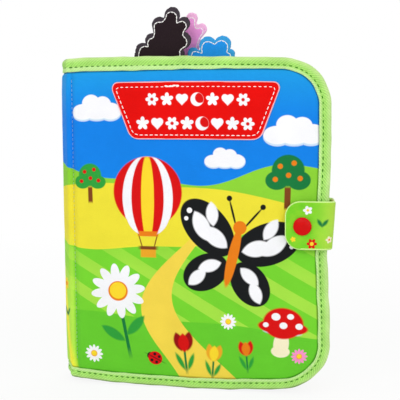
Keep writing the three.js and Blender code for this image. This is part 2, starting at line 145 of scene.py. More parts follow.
# The sky's paler top colour is painted light from above.
SKY_LIT_TOP = ink(28, 158, 230)
SKY_LOW = ink(16, 130, 232)
WHITE = ink(248, 248, 252)
CLOUD_SHADE = ink(206, 226, 246)
SUN_YELLOW = ink(252, 218, 48)
HILL_YELLOW = ink(240, 226, 58)
HILL_GREEN = ink(142, 212, 56)
FIELD_GREEN = ink(120, 214, 50)
FIELD_LIGHT = ink(188, 234, 82)
GRASS_GREEN = ink(104, 204, 48)
PATH_YELLOW = ink(246, 216, 78)
DEEP_GREEN = ink(24, 122, 62)
LEAF_GREEN = ink(48, 160, 60)
RED = ink(218, 16, 16)
DARK_RED = ink(150, 12, 16)
ORANGE = ink(236, 128, 24)
LIGHT_ORANGE = ink(238, 168, 40)
BROWN = ink(128, 68, 30)
BLACK = ink(22, 24, 26)
PINK = ink(250, 150, 205)
SKY_BLUE = ink(64, 150, 236)
CREAM = ink(250, 240, 205)


class Bench:
    """Adds nodes to one tree, each before the nodes that read it."""

    def __init__(self, tree):
        self.tree = tree

    def node(self, kind, inputs=None, **settings):
        """A new node. Each input, by name or number, takes another node's output or a value."""
        made = self.tree.nodes.new(kind)
        for key, value in settings.items():
            setattr(made, key, value)
        for key, value in (inputs or {}).items():
            if isinstance(value, bpy.types.NodeSocket):
                self.tree.links.new(value, made.inputs[key])
            else:
                made.inputs[key].default_value = value
        return made

    def calc(self, operation, *values):
        return self.node("ShaderNodeMath", dict(enumerate(values)), operation=operation).outputs[0]

    def times(self, first, second):
        return self.calc("MULTIPLY", first, second)

    def times_plus(self, value, factor, extra):
        return self.calc("MULTIPLY_ADD", value, factor, extra)

    def vector(self, operation, *values):
        made = self.node("ShaderNodeVectorMath", dict(enumerate(values)), operation=operation)
        return made.outputs["Value" if operation in ("LENGTH", "DOT_PRODUCT") else "Vector"]

    def split(self, vector):
        made = self.node("ShaderNodeSeparateXYZ", {0: vector})
        return made.outputs[0], made.outputs[1]

    def join(self, across, up):
        return self.node("ShaderNodeCombineXYZ", {0: across, 1: up}).outputs[0]

    def local(self, vector, across, up, wide, high, turn):
        """The place as seen from a motif's middle, turned with it and in shares of its size."""
        given = {"Vector": vector, "Location": (across, up, 0), "Rotation": (0, 0, turn),
                 "Scale": (wide, high, 1)}
        return self.node("ShaderNodeMapping", given, vector_type="TEXTURE").outputs[0]

    def span(self, value, start, end, low=0.0, high=1.0):
        """Runs from low to high while the value runs from start to end."""
        given = dict(enumerate((value, start, end, low, high)))
        return self.node("ShaderNodeMapRange", given).outputs[0]

    def vary(self, noise, low, high):
        """Spreads a noise's usual values from low to high."""
        return self.span(noise, 0.3, 0.7, low, high)

    def inside(self, value, limit, soft):
        """1 where the value is below the limit, 0 above it, with a soft edge."""
        return self.span(value, limit - soft, limit + soft, 1.0, 0.0)

    def blend(self, share, first, second):
        given = {"Factor": share, 6: first, 7: second}
        return self.node("ShaderNodeMix", given, data_type="RGBA").outputs[2]

    def toned(self, colour, factor):
        return self.node("ShaderNodeHueSaturation", {"Value": factor, "Color": colour}).outputs[0]

    def noise(self, place, scale, detail=2.0, roughness=0.5):
        given = {"Vector": place, "Scale": scale, "Detail": detail, "Roughness": roughness}
        return self.node("ShaderNodeTexNoise", given).outputs["Fac"]


PRINT_EDGE = 0.28
LINK_SHARE = 1e-9


class Printer(Bench):
    """Prints flat shapes onto a cloth, one over the other."""

    def __init__(self, tree, ground):
        super().__init__(tree)
        self.whole = self.node("ShaderNodeUVMap", uv_map="cloth").outputs[0]
        self.ground = ground

    def at(self, across, up, size, turn=0.0, mirrored=False):
        """Starts a motif: its shapes are given in shares of its size, about its middle."""
        self.size = self.scale = size
        self.turn = math.radians(turn)
        self.origin = (across, up)
        self.place = self.after_ground()
        if mirrored:
            near = self.local(self.place, across, up, size, size, self.turn)
            sideways, height = self.split(near)
            self.place = self.join(self.calc("ABSOLUTE", sideways), height)
            self.origin, self.turn, self.scale = (0, 0), 0.0, 1.0

    def after_ground(self):
        """The cloth place, read through the print so far.

        The renderer then takes the motifs in turn, not all at once.
        """
        if not isinstance(self.ground, bpy.types.NodeSocket):
            return self.whole
        return self.vector("MULTIPLY_ADD", self.ground, (LINK_SHARE,) * 3, self.whole)

    def near(self, across, up, wide, high, turn):
        cos, sin = math.cos(self.turn), math.sin(self.turn)
        middle_x = self.origin[0] + self.scale * (across * cos - up * sin)
        middle_y = self.origin[1] + self.scale * (across * sin + up * cos)
        return self.local(self.place, middle_x, middle_y, wide * self.scale, high * self.scale,
                          self.turn + math.radians(turn))

    def lay(self, mask, colour, within=None):
        """Prints the colour where the mask is, and inside another mask if one is given."""
        if within is not None:
            mask = self.times(mask, within)
        self.ground = self.blend(mask, self.ground, colour)
        return mask

    def cut(self, reach, radius, colour, within=None, limit=1):
        """Prints where the reach is below the limit, with the same soft edge on every motif."""
        soft = PRINT_EDGE / (self.size * radius)
        return self.lay(self.inside(reach, limit, soft), colour, within)

    def disc(self, across, up, wide, high, turn, colour, within=None):
        reach = self.vector("LENGTH", self.near(across, up, wide, high, turn))
        return self.cut(reach, min(wide, high), colour, within)

    def dot(self, across, up, radius, colour, within=None):
        return self.disc(across, up, radius, radius, 0, colour, within)

    def block(self, across, up, wide, high, turn, colour):
        near = self.vector("ABSOLUTE", self.near(across, up, wide, high, turn))
        return self.cut(self.calc("MAXIMUM", *self.split(near)), min(wide, high), colour)

    def leaf(self, across, up, wide, high, turn, colour, apart=0.75):
        """A pointed oval: where two discs that stand apart overlap."""
        sideways = self.vector("ABSOLUTE", self.near(across, up, wide * 2, high, turn))
        reach = self.vector("LENGTH", self.vector("ADD", sideways, (apart, 0, 0)))
        return self.cut(reach, min(wide, high), colour, limit=math.hypot(1, apart))

    def petals(self, count, depth, colour, turn=0.0):
        """A flower head that fills the motif's size."""
        near = self.near(0, 0, 1, 1, turn)
        sideways, height = self.split(near)
        angle = self.times(self.calc("ARCTAN2", height, sideways), count / 2)
        wave = self.calc("ABSOLUTE", self.calc("COSINE", angle))
        rim = self.times_plus(wave, depth, 1 - depth)
        return self.cut(self.calc("DIVIDE", self.vector("LENGTH", near), rim), 1, colour)

    def puffs(self, discs, colour):
        """One shape made of several discs, each given as across, up, wide and high."""
        reach = None
        for disc in discs:
            one = self.vector("LENGTH", self.near(*disc, 0))
            reach = one if reach is None else self.calc("MINIMUM", reach, one)
        return self.cut(reach, min(min(disc[2:]) for disc in discs), colour)

    def below(self, height, rise, run, shift, colour, second):
        """Everything under a line that rolls across the cloth in two waves."""
        sideways, up = self.split(self.after_ground())
        wave = self.calc("SINE", self.times_plus(sideways, 1 / run, shift))
        small = self.calc("SINE", self.times_plus(sideways, 2.3 / run, shift + 1.1))
        line = self.times_plus(small, second, self.times_plus(wave, rise, height))
        return self.lay(self.inside(self.calc("SUBTRACT", up, line), 0, PRINT_EDGE), colour)


def print_cloud(p, across, up, size):
    """A white cloud with a pale blue underside."""
    p.at(across, up, size)
    lower = [(0, 0, 0.62, 0.42), (-0.55, -0.12, 0.45, 0.3), (0.55, -0.1, 0.45, 0.32)]
    p.puffs([(x, y - 0.07, w, h) for x, y, w, h in lower], CLOUD_SHADE)
    p.puffs([*lower, (-0.22, 0.2, 0.36, 0.33), (0.25, 0.16, 0.34, 0.3)], WHITE)


def print_balloon(p, across, up, size, gores):
    """A hot air balloon, its gores' colours given from the outer pair to the middle one."""
    p.at(across, up, size)
    for side in (-1, 1):
        p.block(side * 0.2, -0.98, 0.014, 0.24, -side * 16, BROWN)
    p.block(0, -1.28, 0.19, 0.13, 0, LIGHT_ORANGE)
    p.block(0, -1.18, 0.22, 0.04, 0, BROWN)
    envelope = p.puffs([(0, 0.16, 0.84, 0.84), (0, -0.34, 0.54, 0.56)], gores[0])
    for wide, colour in zip((0.62, 0.4, 0.16), gores[1:]):
        p.disc(0, 0.02, wide, 1.02, 0, colour, envelope)
    p.block(0, -0.84, 0.24, 0.06, 0, ORANGE)


WING_PATCHES = ((0.36, 0.24, 0.13, 0.26, -64), (0.62, 0.36, 0.13, 0.27, -40),
                (0.5, 0.6, 0.1, 0.2, -20), (0.34, -0.24, 0.1, 0.2, -120),
                (0.5, -0.48, 0.1, 0.19, -145))


def print_butterfly(p, across, up, size, turn, wing=BLACK, patch=WHITE):
    """A butterfly with patched wings, printed as one half and its mirror image."""
    p.at(across, up, size, turn, mirrored=True)
    p.disc(0.17, 0.7, 0.018, 0.24, -28, BLACK)
    p.dot(0.285, 0.92, 0.045, BLACK)
    p.disc(0.52, 0.36, 0.56, 0.34, 34, wing)
    p.disc(0.38, -0.36, 0.4, 0.29, -42, wing)
    for shape in WING_PATCHES:
        p.leaf(*shape, patch)
    p.dot(0.88, 0.56, 0.045, patch)
    p.dot(0.9, 0.42, 0.035, patch)
    p.disc(0, 0, 0.085, 0.5, 0, ORANGE)
    p.dot(0, 0.5, 0.11, ORANGE)


def print_bloom(p, across, up, size, count, depth, colour, eye=0.0, eye_colour=None, turn=0.0):
    """A small flower head, with an eye if one is given."""
    p.at(across, up, size, turn)
    p.petals(count, depth, colour)
    if eye:
        p.dot(0, 0, eye, eye_colour)


def print_sprig(p, across, up, size, wide, high, lean):
    """Two leaves that spread from one point."""
    p.at(across, up, size)
    for side in (-1, 1):
        p.leaf(side * 0.5, 0, wide, high, -side * lean, DEEP_GREEN)


def print_daisy(p, across, up, size, turn=0.0, petal=WHITE, stem=0.0):
    """A daisy head, on a stem with two leaves if a length is given for it."""
    p.at(across, up, size, turn)
    if stem:
        p.block(0.03, -stem / 2 - 0.2, 0.06, stem / 2, 3, DEEP_GREEN)
        p.leaf(-0.42, -stem * 0.72, 0.17, 0.5, 52, LEAF_GREEN)
        p.leaf(0.46, -stem * 0.62, 0.17, 0.48, -50, LEAF_GREEN)
    p.petals(12, 0.36, petal)
    p.dot(0, 0, 0.36, ORANGE)
    p.dot(0, 0.02, 0.3, SUN_YELLOW)


def print_tulip(p, across, up, size, turn, petal, shade):
    """A tulip of three petals on a stem with two leaves."""
    p.at(across, up, size, turn)
    p.block(0, -1.0, 0.07, 0.75, 0, DEEP_GREEN)
    p.leaf(-0.34, -1.1, 0.15, 0.62, 24, LEAF_GREEN)
    p.leaf(0.34, -1.15, 0.15, 0.56, -24, LEAF_GREEN)
    p.leaf(-0.3, 0.14, 0.3, 0.62, 12, shade)
    p.leaf(0.3, 0.14, 0.3, 0.62, -12, shade)
    p.leaf(0, 0.06, 0.34, 0.6, 0, petal)


def print_toadstool(p, across, up, size, turn=0.0):
    """A toadstool with a spotted cap."""
    p.at(across, up, size, turn)
    p.puffs([(0, -0.55, 0.3, 0.5), (0, -0.85, 0.36, 0.24)], CREAM)
    p.disc(0, -0.08, 0.72, 0.13, 0, CLOUD_SHADE)
    cap = p.puffs([(0, 0.12, 0.96, 0.3), (0, 0.28, 0.78, 0.62)], RED)
    for x, y, radius in ((-0.3, 0.52, 0.17), (0.26, 0.58, 0.13), (0.02, 0.2, 0.15),
                         (-0.66, 0.16, 0.11), (0.62, 0.22, 0.14)):
        p.disc(x, y, radius, radius * 0.86, 0, WHITE, cap)


def print_tree(p, across, up, size, crown, fruit):
    """A round tree with five fruits."""
    p.at(across, up, size)
    p.block(0, -0.95, 0.12, 0.42, 0, BROWN)
    p.puffs([(0, 0.1, 0.62, 0.6), (-0.42, -0.28, 0.44, 0.36), (0.42, -0.28, 0.44, 0.36)], crown)
    for x, y in ((-0.3, 0.26), (0.22, 0.38), (0.02, -0.08), (-0.48, -0.24), (0.46, -0.2)):
        p.dot(x, y, 0.1, fruit)


def print_ladybird(p, across, up, size, turn):
    """A ladybird seen from above."""
    p.at(across, up, size, turn)
    p.disc(0, 0.62, 0.42, 0.4, 0, BLACK)
    p.disc(0, 0, 0.78, 0.84, 0, RED)
    p.block(0, 0, 0.05, 0.82, 0, BLACK)
    for x, y in ((-0.4, 0.25), (0.4, 0.25), (-0.36, -0.34), (0.36, -0.34)):
        p.dot(x, y, 0.17, BLACK)


def print_meadow(p):
    """Sky, hills, fields and a path that run round the whole outer cloth."""
    _, up = p.split(p.whole)
    # Painted light: the sky pales towards the top edge, as if lit from above.
    p.ground = p.blend(p.span(up, 200, 238), SKY_LOW, SKY_LIT_TOP)
    p.below(160, 7, 33, 2.4, HILL_GREEN, 3)
    p.below(146, 8, 47, 0.5, HILL_YELLOW, 2)
    field = p.below(112, 9, 39, 3.6, FIELD_GREEN, 3)
    sideways, up = p.split(p.after_ground())
    stripe = p.calc("SINE", p.times(p.times_plus(up, 1.7, sideways), 0.16))
    stripe = p.times(p.span(stripe, 0.1, 0.25), p.inside(up, 108, 22))
    p.lay(p.times(stripe, 0.62), FIELD_LIGHT, field)
    p.below(48, 7, 51, 0.9, GRASS_GREEN, 2.5)
    sideways, up = p.split(p.after_ground())
    bend = p.calc("SINE", p.times_plus(up, 1 / 26, 2.2))
    off = p.calc("ABSOLUTE", p.calc("SUBTRACT", sideways, p.times_plus(bend, 24, 88)))
    half_wide = p.times_plus(up, -0.17, 23)
    path = p.inside(p.calc("SUBTRACT", off, half_wide), 0, PRINT_EDGE)
    p.lay(path, PATH_YELLOW, p.inside(up, 121, 1))


def print_spine(p):
    """The strip of the outer cloth that wraps the spine: paler fields and two small motifs."""
    sideways, up = p.split(p.after_ground())
    low = p.inside(up, 92, 26)
    strip = p.inside(p.calc("ABSOLUTE", p.calc("ADD", sideways, 15)), 14.5, 0.8)
    p.lay(p.times(p.times(strip, low), 0.9), ink(190, 240, 84))
    slope = p.times_plus(up, 0.17, p.calc("ADD", sideways, 1.6))
    p.lay(p.times(p.inside(p.calc("ABSOLUTE", slope), 2.8, 1.8), low), ink(255, 246, 66))
    print_bloom(p, -10, 74, 5, 6, 0.4, SUN_YELLOW, 0.32, ORANGE, 20)
    print_sprig(p, -9, 52, 5, 0.3, 0.9, 38)


def paint_seam_shadow(p, side):
    """Painted shadow: the print darkens in a band where it dips under the tape's folded edge."""
    along, up = p.split(p.after_ground())
    if side == BACK:
        along = p.calc("SUBTRACT", -BACK_PRINT_SHIFT, along)
    extra = p.times(p.span(up, *TAPE_EXTRA_Z), p.span(along, *TAPE_EXTRA_S, TAPE_EXTRA, 0.0))
    across = p.calc("SUBTRACT", along, COVER_WIDTH - COVER_RADIUS)
    rise = p.calc("ABSOLUTE", p.calc("SUBTRACT", up, HALF_HEIGHT))
    rise = p.calc("SUBTRACT", rise, HALF_HEIGHT - COVER_RADIUS)
    past = [p.calc("MAXIMUM", reach, 0.0) for reach in (across, rise)]
    flat = p.calc("MINIMUM", p.calc("MAXIMUM", across, rise), 0.0)
    outward = p.calc("ADD", p.calc("ADD", p.vector("LENGTH", p.join(*past)), flat), extra)
    inward = p.calc("SUBTRACT", COVER_RADIUS - TAPE_WIDTH, outward)
    # Painted shadow along the tape's inner edge.
    p.lay(p.times(p.inside(inward, 0.85, 0.5), 0.8), p.toned(p.ground, 0.32))


def print_front(p):
    """The front cover's part of the outer cloth."""
    print_meadow(p)
    for place in ((20, 208, 19), (166, 192, 22), (116, 172, 15)):
        print_cloud(p, *place)
    print_tree(p, 162, 162, 19, DEEP_GREEN, ORANGE)
    print_tree(p, 14, 158, 14, LEAF_GREEN, RED)
    print_balloon(p, 58, 142, 31, (RED, WHITE, RED, SUN_YELLOW))
    print_spine(p)
    print_butterfly(p, 122, 100, 45, -14)
    print_daisy(p, 34, 72, 21, 8, stem=2.1)
    print_toadstool(p, 158, 46, 19, -6)
    print_tulip(p, 84, 34, 12, 6, RED, DARK_RED)
    print_tulip(p, 107, 27, 10, -5, SUN_YELLOW, LIGHT_ORANGE)
    print_tulip(p, 131, 31, 9, 4, ORANGE, RED)
    print_ladybird(p, 62, 22, 6.5, 64)
    print_daisy(p, 118, 52, 6)
    print_daisy(p, 14, 22, 7)
    print_daisy(p, 170, 26, 6, 0, PINK)
    paint_seam_shadow(p, FRONT)


def print_back(p):
    """The back cover's part of the outer cloth, left of the spine."""
    print_meadow(p)
    print_bloom(p, -96, 206, 15, 16, 0.26, LIGHT_ORANGE, 0.66, SUN_YELLOW)
    for place in ((-150, 200, 26), (-208, 214, 17), (-74, 176, 17)):
        print_cloud(p, *place)
    print_balloon(p, -150, 148, 30, (ORANGE, WHITE, ORANGE, SKY_BLUE))
    print_tree(p, -78, 150, 20, LEAF_GREEN, RED)
    print_toadstool(p, -134, 62, 30, 5)
    print_daisy(p, -84, 64, 15, -6, stem=2.0)
    print_tulip(p, -190, 52, 18, 5, RED, DARK_RED)
    print_tulip(p, -216, 56, 11, -6, SUN_YELLOW, LIGHT_ORANGE)
    print_butterfly(p, -196, 186, 15, 18, ORANGE, WHITE)
    print_ladybird(p, -104, 20, 7, -50)
    paint_seam_shadow(p, BACK)


def print_lining(p, pitch=22):
    """Dots in rows on the inside of the covers, pale ones with small orange ones between them."""
    for shift, radius, colour in ((0.0, 0.15, CREAM), (0.5, 0.09, ORANGE)):
        cell = p.vector("MULTIPLY_ADD", p.whole, (1 / pitch, 1 / pitch, 0), (shift, shift, 0))
        cell = p.vector("SUBTRACT", p.vector("FRACTION", cell), (0.5, 0.5, 0))
        p.lay(p.inside(p.vector("LENGTH", cell), radius, 0.013), colour)


def print_heart(p, across, up, size):
    """A plain white heart."""
    p.at(across, up, size)
    p.dot(-0.42, 0.28, 0.5, WHITE)
    p.dot(0.42, 0.28, 0.5, WHITE)
    p.block(0, -0.1, 0.56, 0.56, 45, WHITE)


def print_star(p, across, up, size):
    """A plain white star with soft points."""
    print_bloom(p, across, up, size, 5, 0.52, WHITE, turn=18)


def print_ringed_bloom(p, across, up, size):
    """A plain white flower with a red eye."""
    print_bloom(p, across, up, size, 6, 0.42, WHITE, 0.26, RED)


def print_moon(p, across, up, size):
    """A plain white crescent."""
    p.at(across, up, size)
    ring = p.dot(0, 0, 1, WHITE)
    p.dot(0.45, 0.22, 0.78, RED, ring)


# Rows of plain shapes: where the first stands, the step to the next, the row's height and size.
TITLE_ROWS = (
    (62.6, 11.2, 214.4, 4.8, (print_ringed_bloom, print_star, print_heart, print_moon,
                              print_star, print_heart, print_ringed_bloom)),
    (55.4, 11.1, 197.2, 4.9, (print_star, print_heart, print_ringed_bloom, print_star,
                              print_moon, print_heart, print_star, print_ringed_bloom)),
)


def print_title(p):
    """Two rows of plain white shapes on the title patch."""
    for start, step, up, size, shapes in TITLE_ROWS:
        for count, shape in enumerate(shapes):
            shape(p, start + step * count, up, size)


STRAP_BLOOMS = (
    (40, 136, 3.2, 5, 0.4, WHITE, 0.3, SUN_YELLOW),
    (36, 112, 3.9, 6, 0.42, RED, 0.36, SUN_YELLOW),
    (24, 115, 2.6, 5, 0.4, CREAM, 0.3, ORANGE),
    (50, 115, 2.0, 5, 0.4, SUN_YELLOW),
    (13, 132, 3.4, 5, 0.4, WHITE, 0.3, SUN_YELLOW),
)


def print_strap(p):
    """Small garden shapes, across from the middle of the wrap to the tab's end."""
    p.ground = p.blend(p.span(p.noise(p.whole, 0.11, 2), 0.35, 0.65), p.ground, ink(134, 212, 44))
    along, _ = p.split(p.whole)
    p.lay(p.span(along, 38, 22, 0.0, 0.7), ink(198, 232, 84))
    for bloom in STRAP_BLOOMS:
        print_bloom(p, *bloom)
    for across, up, size in ((29.5, 127, 3.4), (9, 114, 3.2)):
        print_sprig(p, across, up, size, 0.36, 0.95, 36)


# Each page: its ground, the colour of its hill, then its large motif and what that takes.
PAGES = (
    (ink(252, 226, 90), GRASS_GREEN, print_balloon, 95, 140, 52, (RED, WHITE, RED, SUN_YELLOW)),
    (ink(110, 190, 245), FIELD_GREEN, print_toadstool, 95, 110, 56),
    (ink(250, 176, 208), FIELD_LIGHT, print_butterfly, 95, 135, 62, 8, SKY_BLUE, CREAM),
    (ink(180, 232, 130), GRASS_GREEN, print_daisy, 95, 140, 40, 5, WHITE, 2.0),
    (ink(250, 190, 96), FIELD_GREEN, print_tree, 95, 130, 60, LEAF_GREEN, RED),
    (ink(150, 216, 238), HILL_YELLOW, print_tulip, 95, 140, 48, 4, RED, DARK_RED),
    (ink(246, 238, 200), FIELD_GREEN, print_ladybird, 95, 120, 44, 30),
    (ink(160, 200, 250), HILL_YELLOW, print_balloon, 95, 140, 50,
     (SKY_BLUE, WHITE, ORANGE, SUN_YELLOW)),
)


def page_artwork(hill, motif, *given):
    """What prints one page: a low hill, two clouds, one large motif and two daisies."""
    def print_page(p):
        p.below(56, 9, 40, 0.7, hill, 3)
        print_cloud(p, 46, 205, 22)
        print_cloud(p, 150, 212, 18)
        motif(p, *given)
        print_daisy(p, 30, 30, 9)
        print_daisy(p, 158, 36, 10, 0, PINK)
    return print_page


FINISH_SOCKETS = {
    "INPUT": (("Place", "Vector"), ("Colour", "Color"), ("Pitch", "Float"), ("Mottle", "Float")),
    "OUTPUT": (("Colour", "Color"), ("Roughness", "Float"), ("Height", "Float")),
}


def start_finish(name):
    """An empty shader node group with the sockets of a finish, and what is needed to fill it."""
    tree = bpy.data.node_groups.new(name, "ShaderNodeTree")
    for way, sockets in FINISH_SOCKETS.items():
        for label, kind in sockets:
            tree.interface.new_socket(label, in_out=way, socket_type=f"NodeSocket{kind}")
    bench = Bench(tree)
    return tree, bench, bench.node("NodeGroupInput").outputs


def close_finish(bench, colour, roughness, height):
    """Ends a finish: what it puts out."""
    given = {"Colour": colour, "Roughness": roughness, "Height": height}
    bench.node("NodeGroupOutput", given)


def make_woven_finish():
    """Plain weave with a soft mottle and faint handling creases."""
    tree, b, given = start_finish("woven_finish")
    place = given["Place"]
    broad = b.vary(b.noise(place, 0.035, 3), -1, 1)
    fine = b.noise(place, 1.3, 2)
    crease = b.noise(b.vector("MULTIPLY", place, (0.07, 0.16, 1)), 1.0, 3, 0.62)
    turns = b.calc("DIVIDE", math.tau, given["Pitch"])
    weave = b.times(*[b.calc("SINE", b.times(way, turns)) for way in b.split(place)])
    tone = b.calc("ADD", broad, b.times(b.vary(fine, -1, 1), 0.6))
    factor = b.times_plus(b.times_plus(weave, 0.35, tone), given["Mottle"], 1.0)
    height = b.times_plus(weave, 0.1, b.times_plus(fine, 0.15, b.times(crease, 1.2)))
    close_finish(b, b.toned(given["Colour"], factor), b.vary(fine, 0.5, 0.66), height)
    return tree


def make_twill_finish():
    """Binding tape: fine diagonal ribs, painted highlights on lip and fold, painted shadow where it
    stands.
    """
    tree, b, given = start_finish("twill_finish")
    sideways, across = b.split(given["Place"])
    fine = b.noise(given["Place"], 1.6, 2)
    broad = b.noise(given["Place"], 0.06, 2)
    turns = b.calc("DIVIDE", math.tau, given["Pitch"])
    rib = b.calc("SINE", b.times(b.times_plus(across, 1.2, sideways), turns))
    tone = b.times_plus(rib, 0.8, b.vary(fine, -0.7, 0.7))
    tone = b.calc("ADD", tone, b.vary(broad, -0.5, 0.5))
    colour = b.toned(given["Colour"], b.times_plus(tone, given["Mottle"], 1.0))
    # Painted highlight: the inner lip is paled as if it caught the light.
    lip = b.times(b.span(across, 6.0, 7.2), 0.5)
    # Painted highlight: the outer fold is paled as if lit, varied by a broad noise.
    fold_highlight = b.times(b.span(across, 3.6, 0.4), b.vary(broad, 0.35, 0.75))
    # Painted shadow: the bottom edge is darkened as a contact shadow where the book stands.
    up = b.vector("DOT_PRODUCT", b.node("ShaderNodeTexCoord").outputs["Object"], (0, 0, 1))
    foot_shadow = b.times(b.span(across, 1.9, 1.0), b.span(up, 0.012, 0.006, 0.0, 0.75))
    for mask, shade in ((lip, ink(228, 255, 190)), (fold_highlight, ink(226, 250, 176)),
                        (foot_shadow, ink(96, 132, 62))):
        colour = b.blend(mask, colour, shade)
    height = b.times_plus(rib, 0.5, b.times(fine, 0.7))
    close_finish(b, colour, b.vary(fine, 0.68, 0.86), height)
    return tree


def make_felt_finish():
    """Pressed felt: short fibres in all directions."""
    tree, b, given = start_finish("felt_finish")
    place = b.vector("DIVIDE", given["Place"], b.join(given["Pitch"], given["Pitch"]))
    fibre = b.calc("MAXIMUM", *[b.noise(b.vector("MULTIPLY", place, stretch), 1.0, 3, 0.65)
                                for stretch in ((0.5, 1.9, 1), (1.9, 0.5, 1))])
    factor = b.times_plus(b.span(fibre, 0.4, 0.75, -1, 1), given["Mottle"], 1.0)
    roughness = b.span(fibre, 0.4, 0.75, 0.97, 0.85)
    close_finish(b, b.toned(given["Colour"], factor), roughness, fibre)
    return tree


def new_material(name):
    """A material with an empty node tree."""
    made = bpy.data.materials.new(name)
    made.use_nodes = True
    made.node_tree.nodes.clear()
    return made


def close_material(b, height, strength, distance, surface):
    """Ends a material: a bump, the surface with its inputs, and the output."""
    given = {"Strength": strength, "Distance": distance * MM, "Height": height}
    raised = b.node("ShaderNodeBump", given).outputs[0]
    shader = b.node("ShaderNodeBsdfPrincipled", {**surface, "Normal": raised})
    b.node("ShaderNodeOutputMaterial", {"Surface": shader.outputs[0]})


def make_cloth(name, ground, finish, pitch, mottle, bump, sheen, artwork=None):
    """A cloth: its colour or print, then the finish that weaves it."""
    material = new_material(name)
    p = Printer(material.node_tree, ground)
    if artwork:
        artwork(p)
    given = {"Place": p.whole, "Colour": p.ground, "Pitch": pitch, "Mottle": mottle}
    woven = p.node("ShaderNodeGroup", given, node_tree=finish).outputs
    close_material(p, woven["Height"], 1.0, bump, {
        "Base Color": woven["Colour"], "Roughness": woven["Roughness"],
        "Specular IOR Level": 0.07, "Sheen Weight": sheen, "Sheen Roughness": 0.5})
    return material


def make_plastic(name, colour, roughness, coat, transmission):
    """Moulded plastic: a faint flow mottle and fine handling marks."""
    material = new_material(name)
    b = Bench(material.node_tree)
    place = b.node("ShaderNodeTexCoord").outputs["Object"]
    flow = b.noise(place, 180, 3)
    marks = b.noise(b.vector("MULTIPLY", place, (300, 300, 1900)), 1.0, 3, 0.7)
    close_material(b, marks, 0.25, 0.05, {
        "Base Color": b.toned(colour, b.vary(flow, 0.94, 1.05)),
        "Roughness": b.vary(marks, roughness, roughness + 0.09),
        "Specular IOR Level": 0.12, "Coat Weight": coat, "Coat Roughness": 0.12,
        "Transmission Weight": transmission})
    return material


WOVEN = make_woven_finish()
TWILL = make_twill_finish()
FELT = make_felt_finish()
PRINTED = (WOVEN, 0.55, 0.035, 0.24, 0.03)

# Name, ground, finish, pitch of its threads, mottle, bump, sheen and artwork
CLOTHS = (
    ("front_print_cloth", WHITE, *PRINTED, print_front),
    ("back_print_cloth", WHITE, *PRINTED, print_back),
    ("lining_cloth", ink(246, 206, 70), *PRINTED, print_lining),
    ("lime_twill", ink(173, 231, 114), TWILL, 2.35, 0.17, 0.3, 0.06),
    ("orange_twill", ink(240, 150, 50), TWILL, 1.6, 0.09, 0.16, 0.12),
    ("patch_cloth", ink(230, 6, 2), WOVEN, 0.7, 0.05, 0.2, 0.04, print_title),
    ("patch_edge_cloth", ink(250, 186, 190), WOVEN, 0.5, 0.06, 0.15, 0.3),
    ("strap_cloth", ink(112, 208, 40), WOVEN, 0.55, 0.05, 0.22, 0.06, print_strap),
    ("strap_cut_edge", ink(214, 250, 150), WOVEN, 0.5, 0.06, 0.2, 0.3),
    ("black_felt_cloth", ink(40, 28, 33), FELT, 0.55, 0.3, 0.3, 0.12),
    ("blue_felt_cloth", ink(36, 152, 244), FELT, 0.55, 0.12, 0.3, 0.15),
    ("pink_felt_cloth", ink(255, 164, 234), FELT, 0.55, 0.08, 0.3, 0.2),
    ("white_thread", ink(255, 252, 250), WOVEN, 0.5, 0.04, 0.05, 0.2),
    ("green_thread", ink(66, 138, 30), WOVEN, 0.5, 0.05, 0.1, 0.1),
    # The felt rims are paler copies of each felt: painted light caught by the thin felt edge.
    ("black_felt_rim", ink(66, 58, 66), FELT, 0.6, 0.3, 0.3, 0.15),
    ("blue_felt_rim", ink(62, 164, 232), FELT, 0.6, 0.12, 0.3, 0.15),
    ("pink_felt_rim", ink(252, 190, 232), FELT, 0.6, 0.08, 0.3, 0.2),
)
PAGE_CLOTHS = tuple((f"page_cloth_{number}", ground, *PRINTED, page_artwork(*drawn))
                    for number, (ground, *drawn) in enumerate(PAGES, 1))

# Name, colour, roughness, coat and how much light passes through
PLASTICS = (
    ("clear_thread", ink(232, 244, 246), 0.3, 0.0, 0.8),
    ("red_snap_plastic", ink(210, 0, 0), 0.34, 0.03, 0.0),
    ("clear_snap_plastic", ink(238, 236, 228), 0.32, 0.2, 0.35),
)


def make_materials():
    """Every material of the book, by name."""
    made = [make_cloth(*cloth) for cloth in CLOTHS + PAGE_CLOTHS]
    made += [make_plastic(*plastic) for plastic in PLASTICS]
    return {material.name: material for material in made}


def smooth(value, start, end):
    """Rises softly from 0 to 1 while the value runs from start to end."""
    share = np.clip((value - start) / (end - start), 0, 1)
    return share * share * (3 - 2 * share)


def hump(value, middle, wide):
    """1 at the middle, falling off softly on both sides."""
    return np.exp(-(((value - middle) / wide) ** 2))


def unit(ways):
    """The same ways, each of length 1."""
    return ways / np.linalg.norm(ways, axis=-1, keepdims=True)


def ripples(s, z, seed, wavelength, count=7):
    """Soft waves in all directions, about -1 to 1, the same on every run."""
    pick = np.random.default_rng(seed)
    total = np.zeros_like(s)
    for _ in range(count):
        angle, shift = pick.uniform(0, math.pi), pick.uniform(0, math.tau)
        turns = math.tau / (wavelength * pick.uniform(0.7, 1.5))
        total += np.sin((s * math.cos(angle) + z * math.sin(angle)) * turns + shift)
    return total / math.sqrt(count)


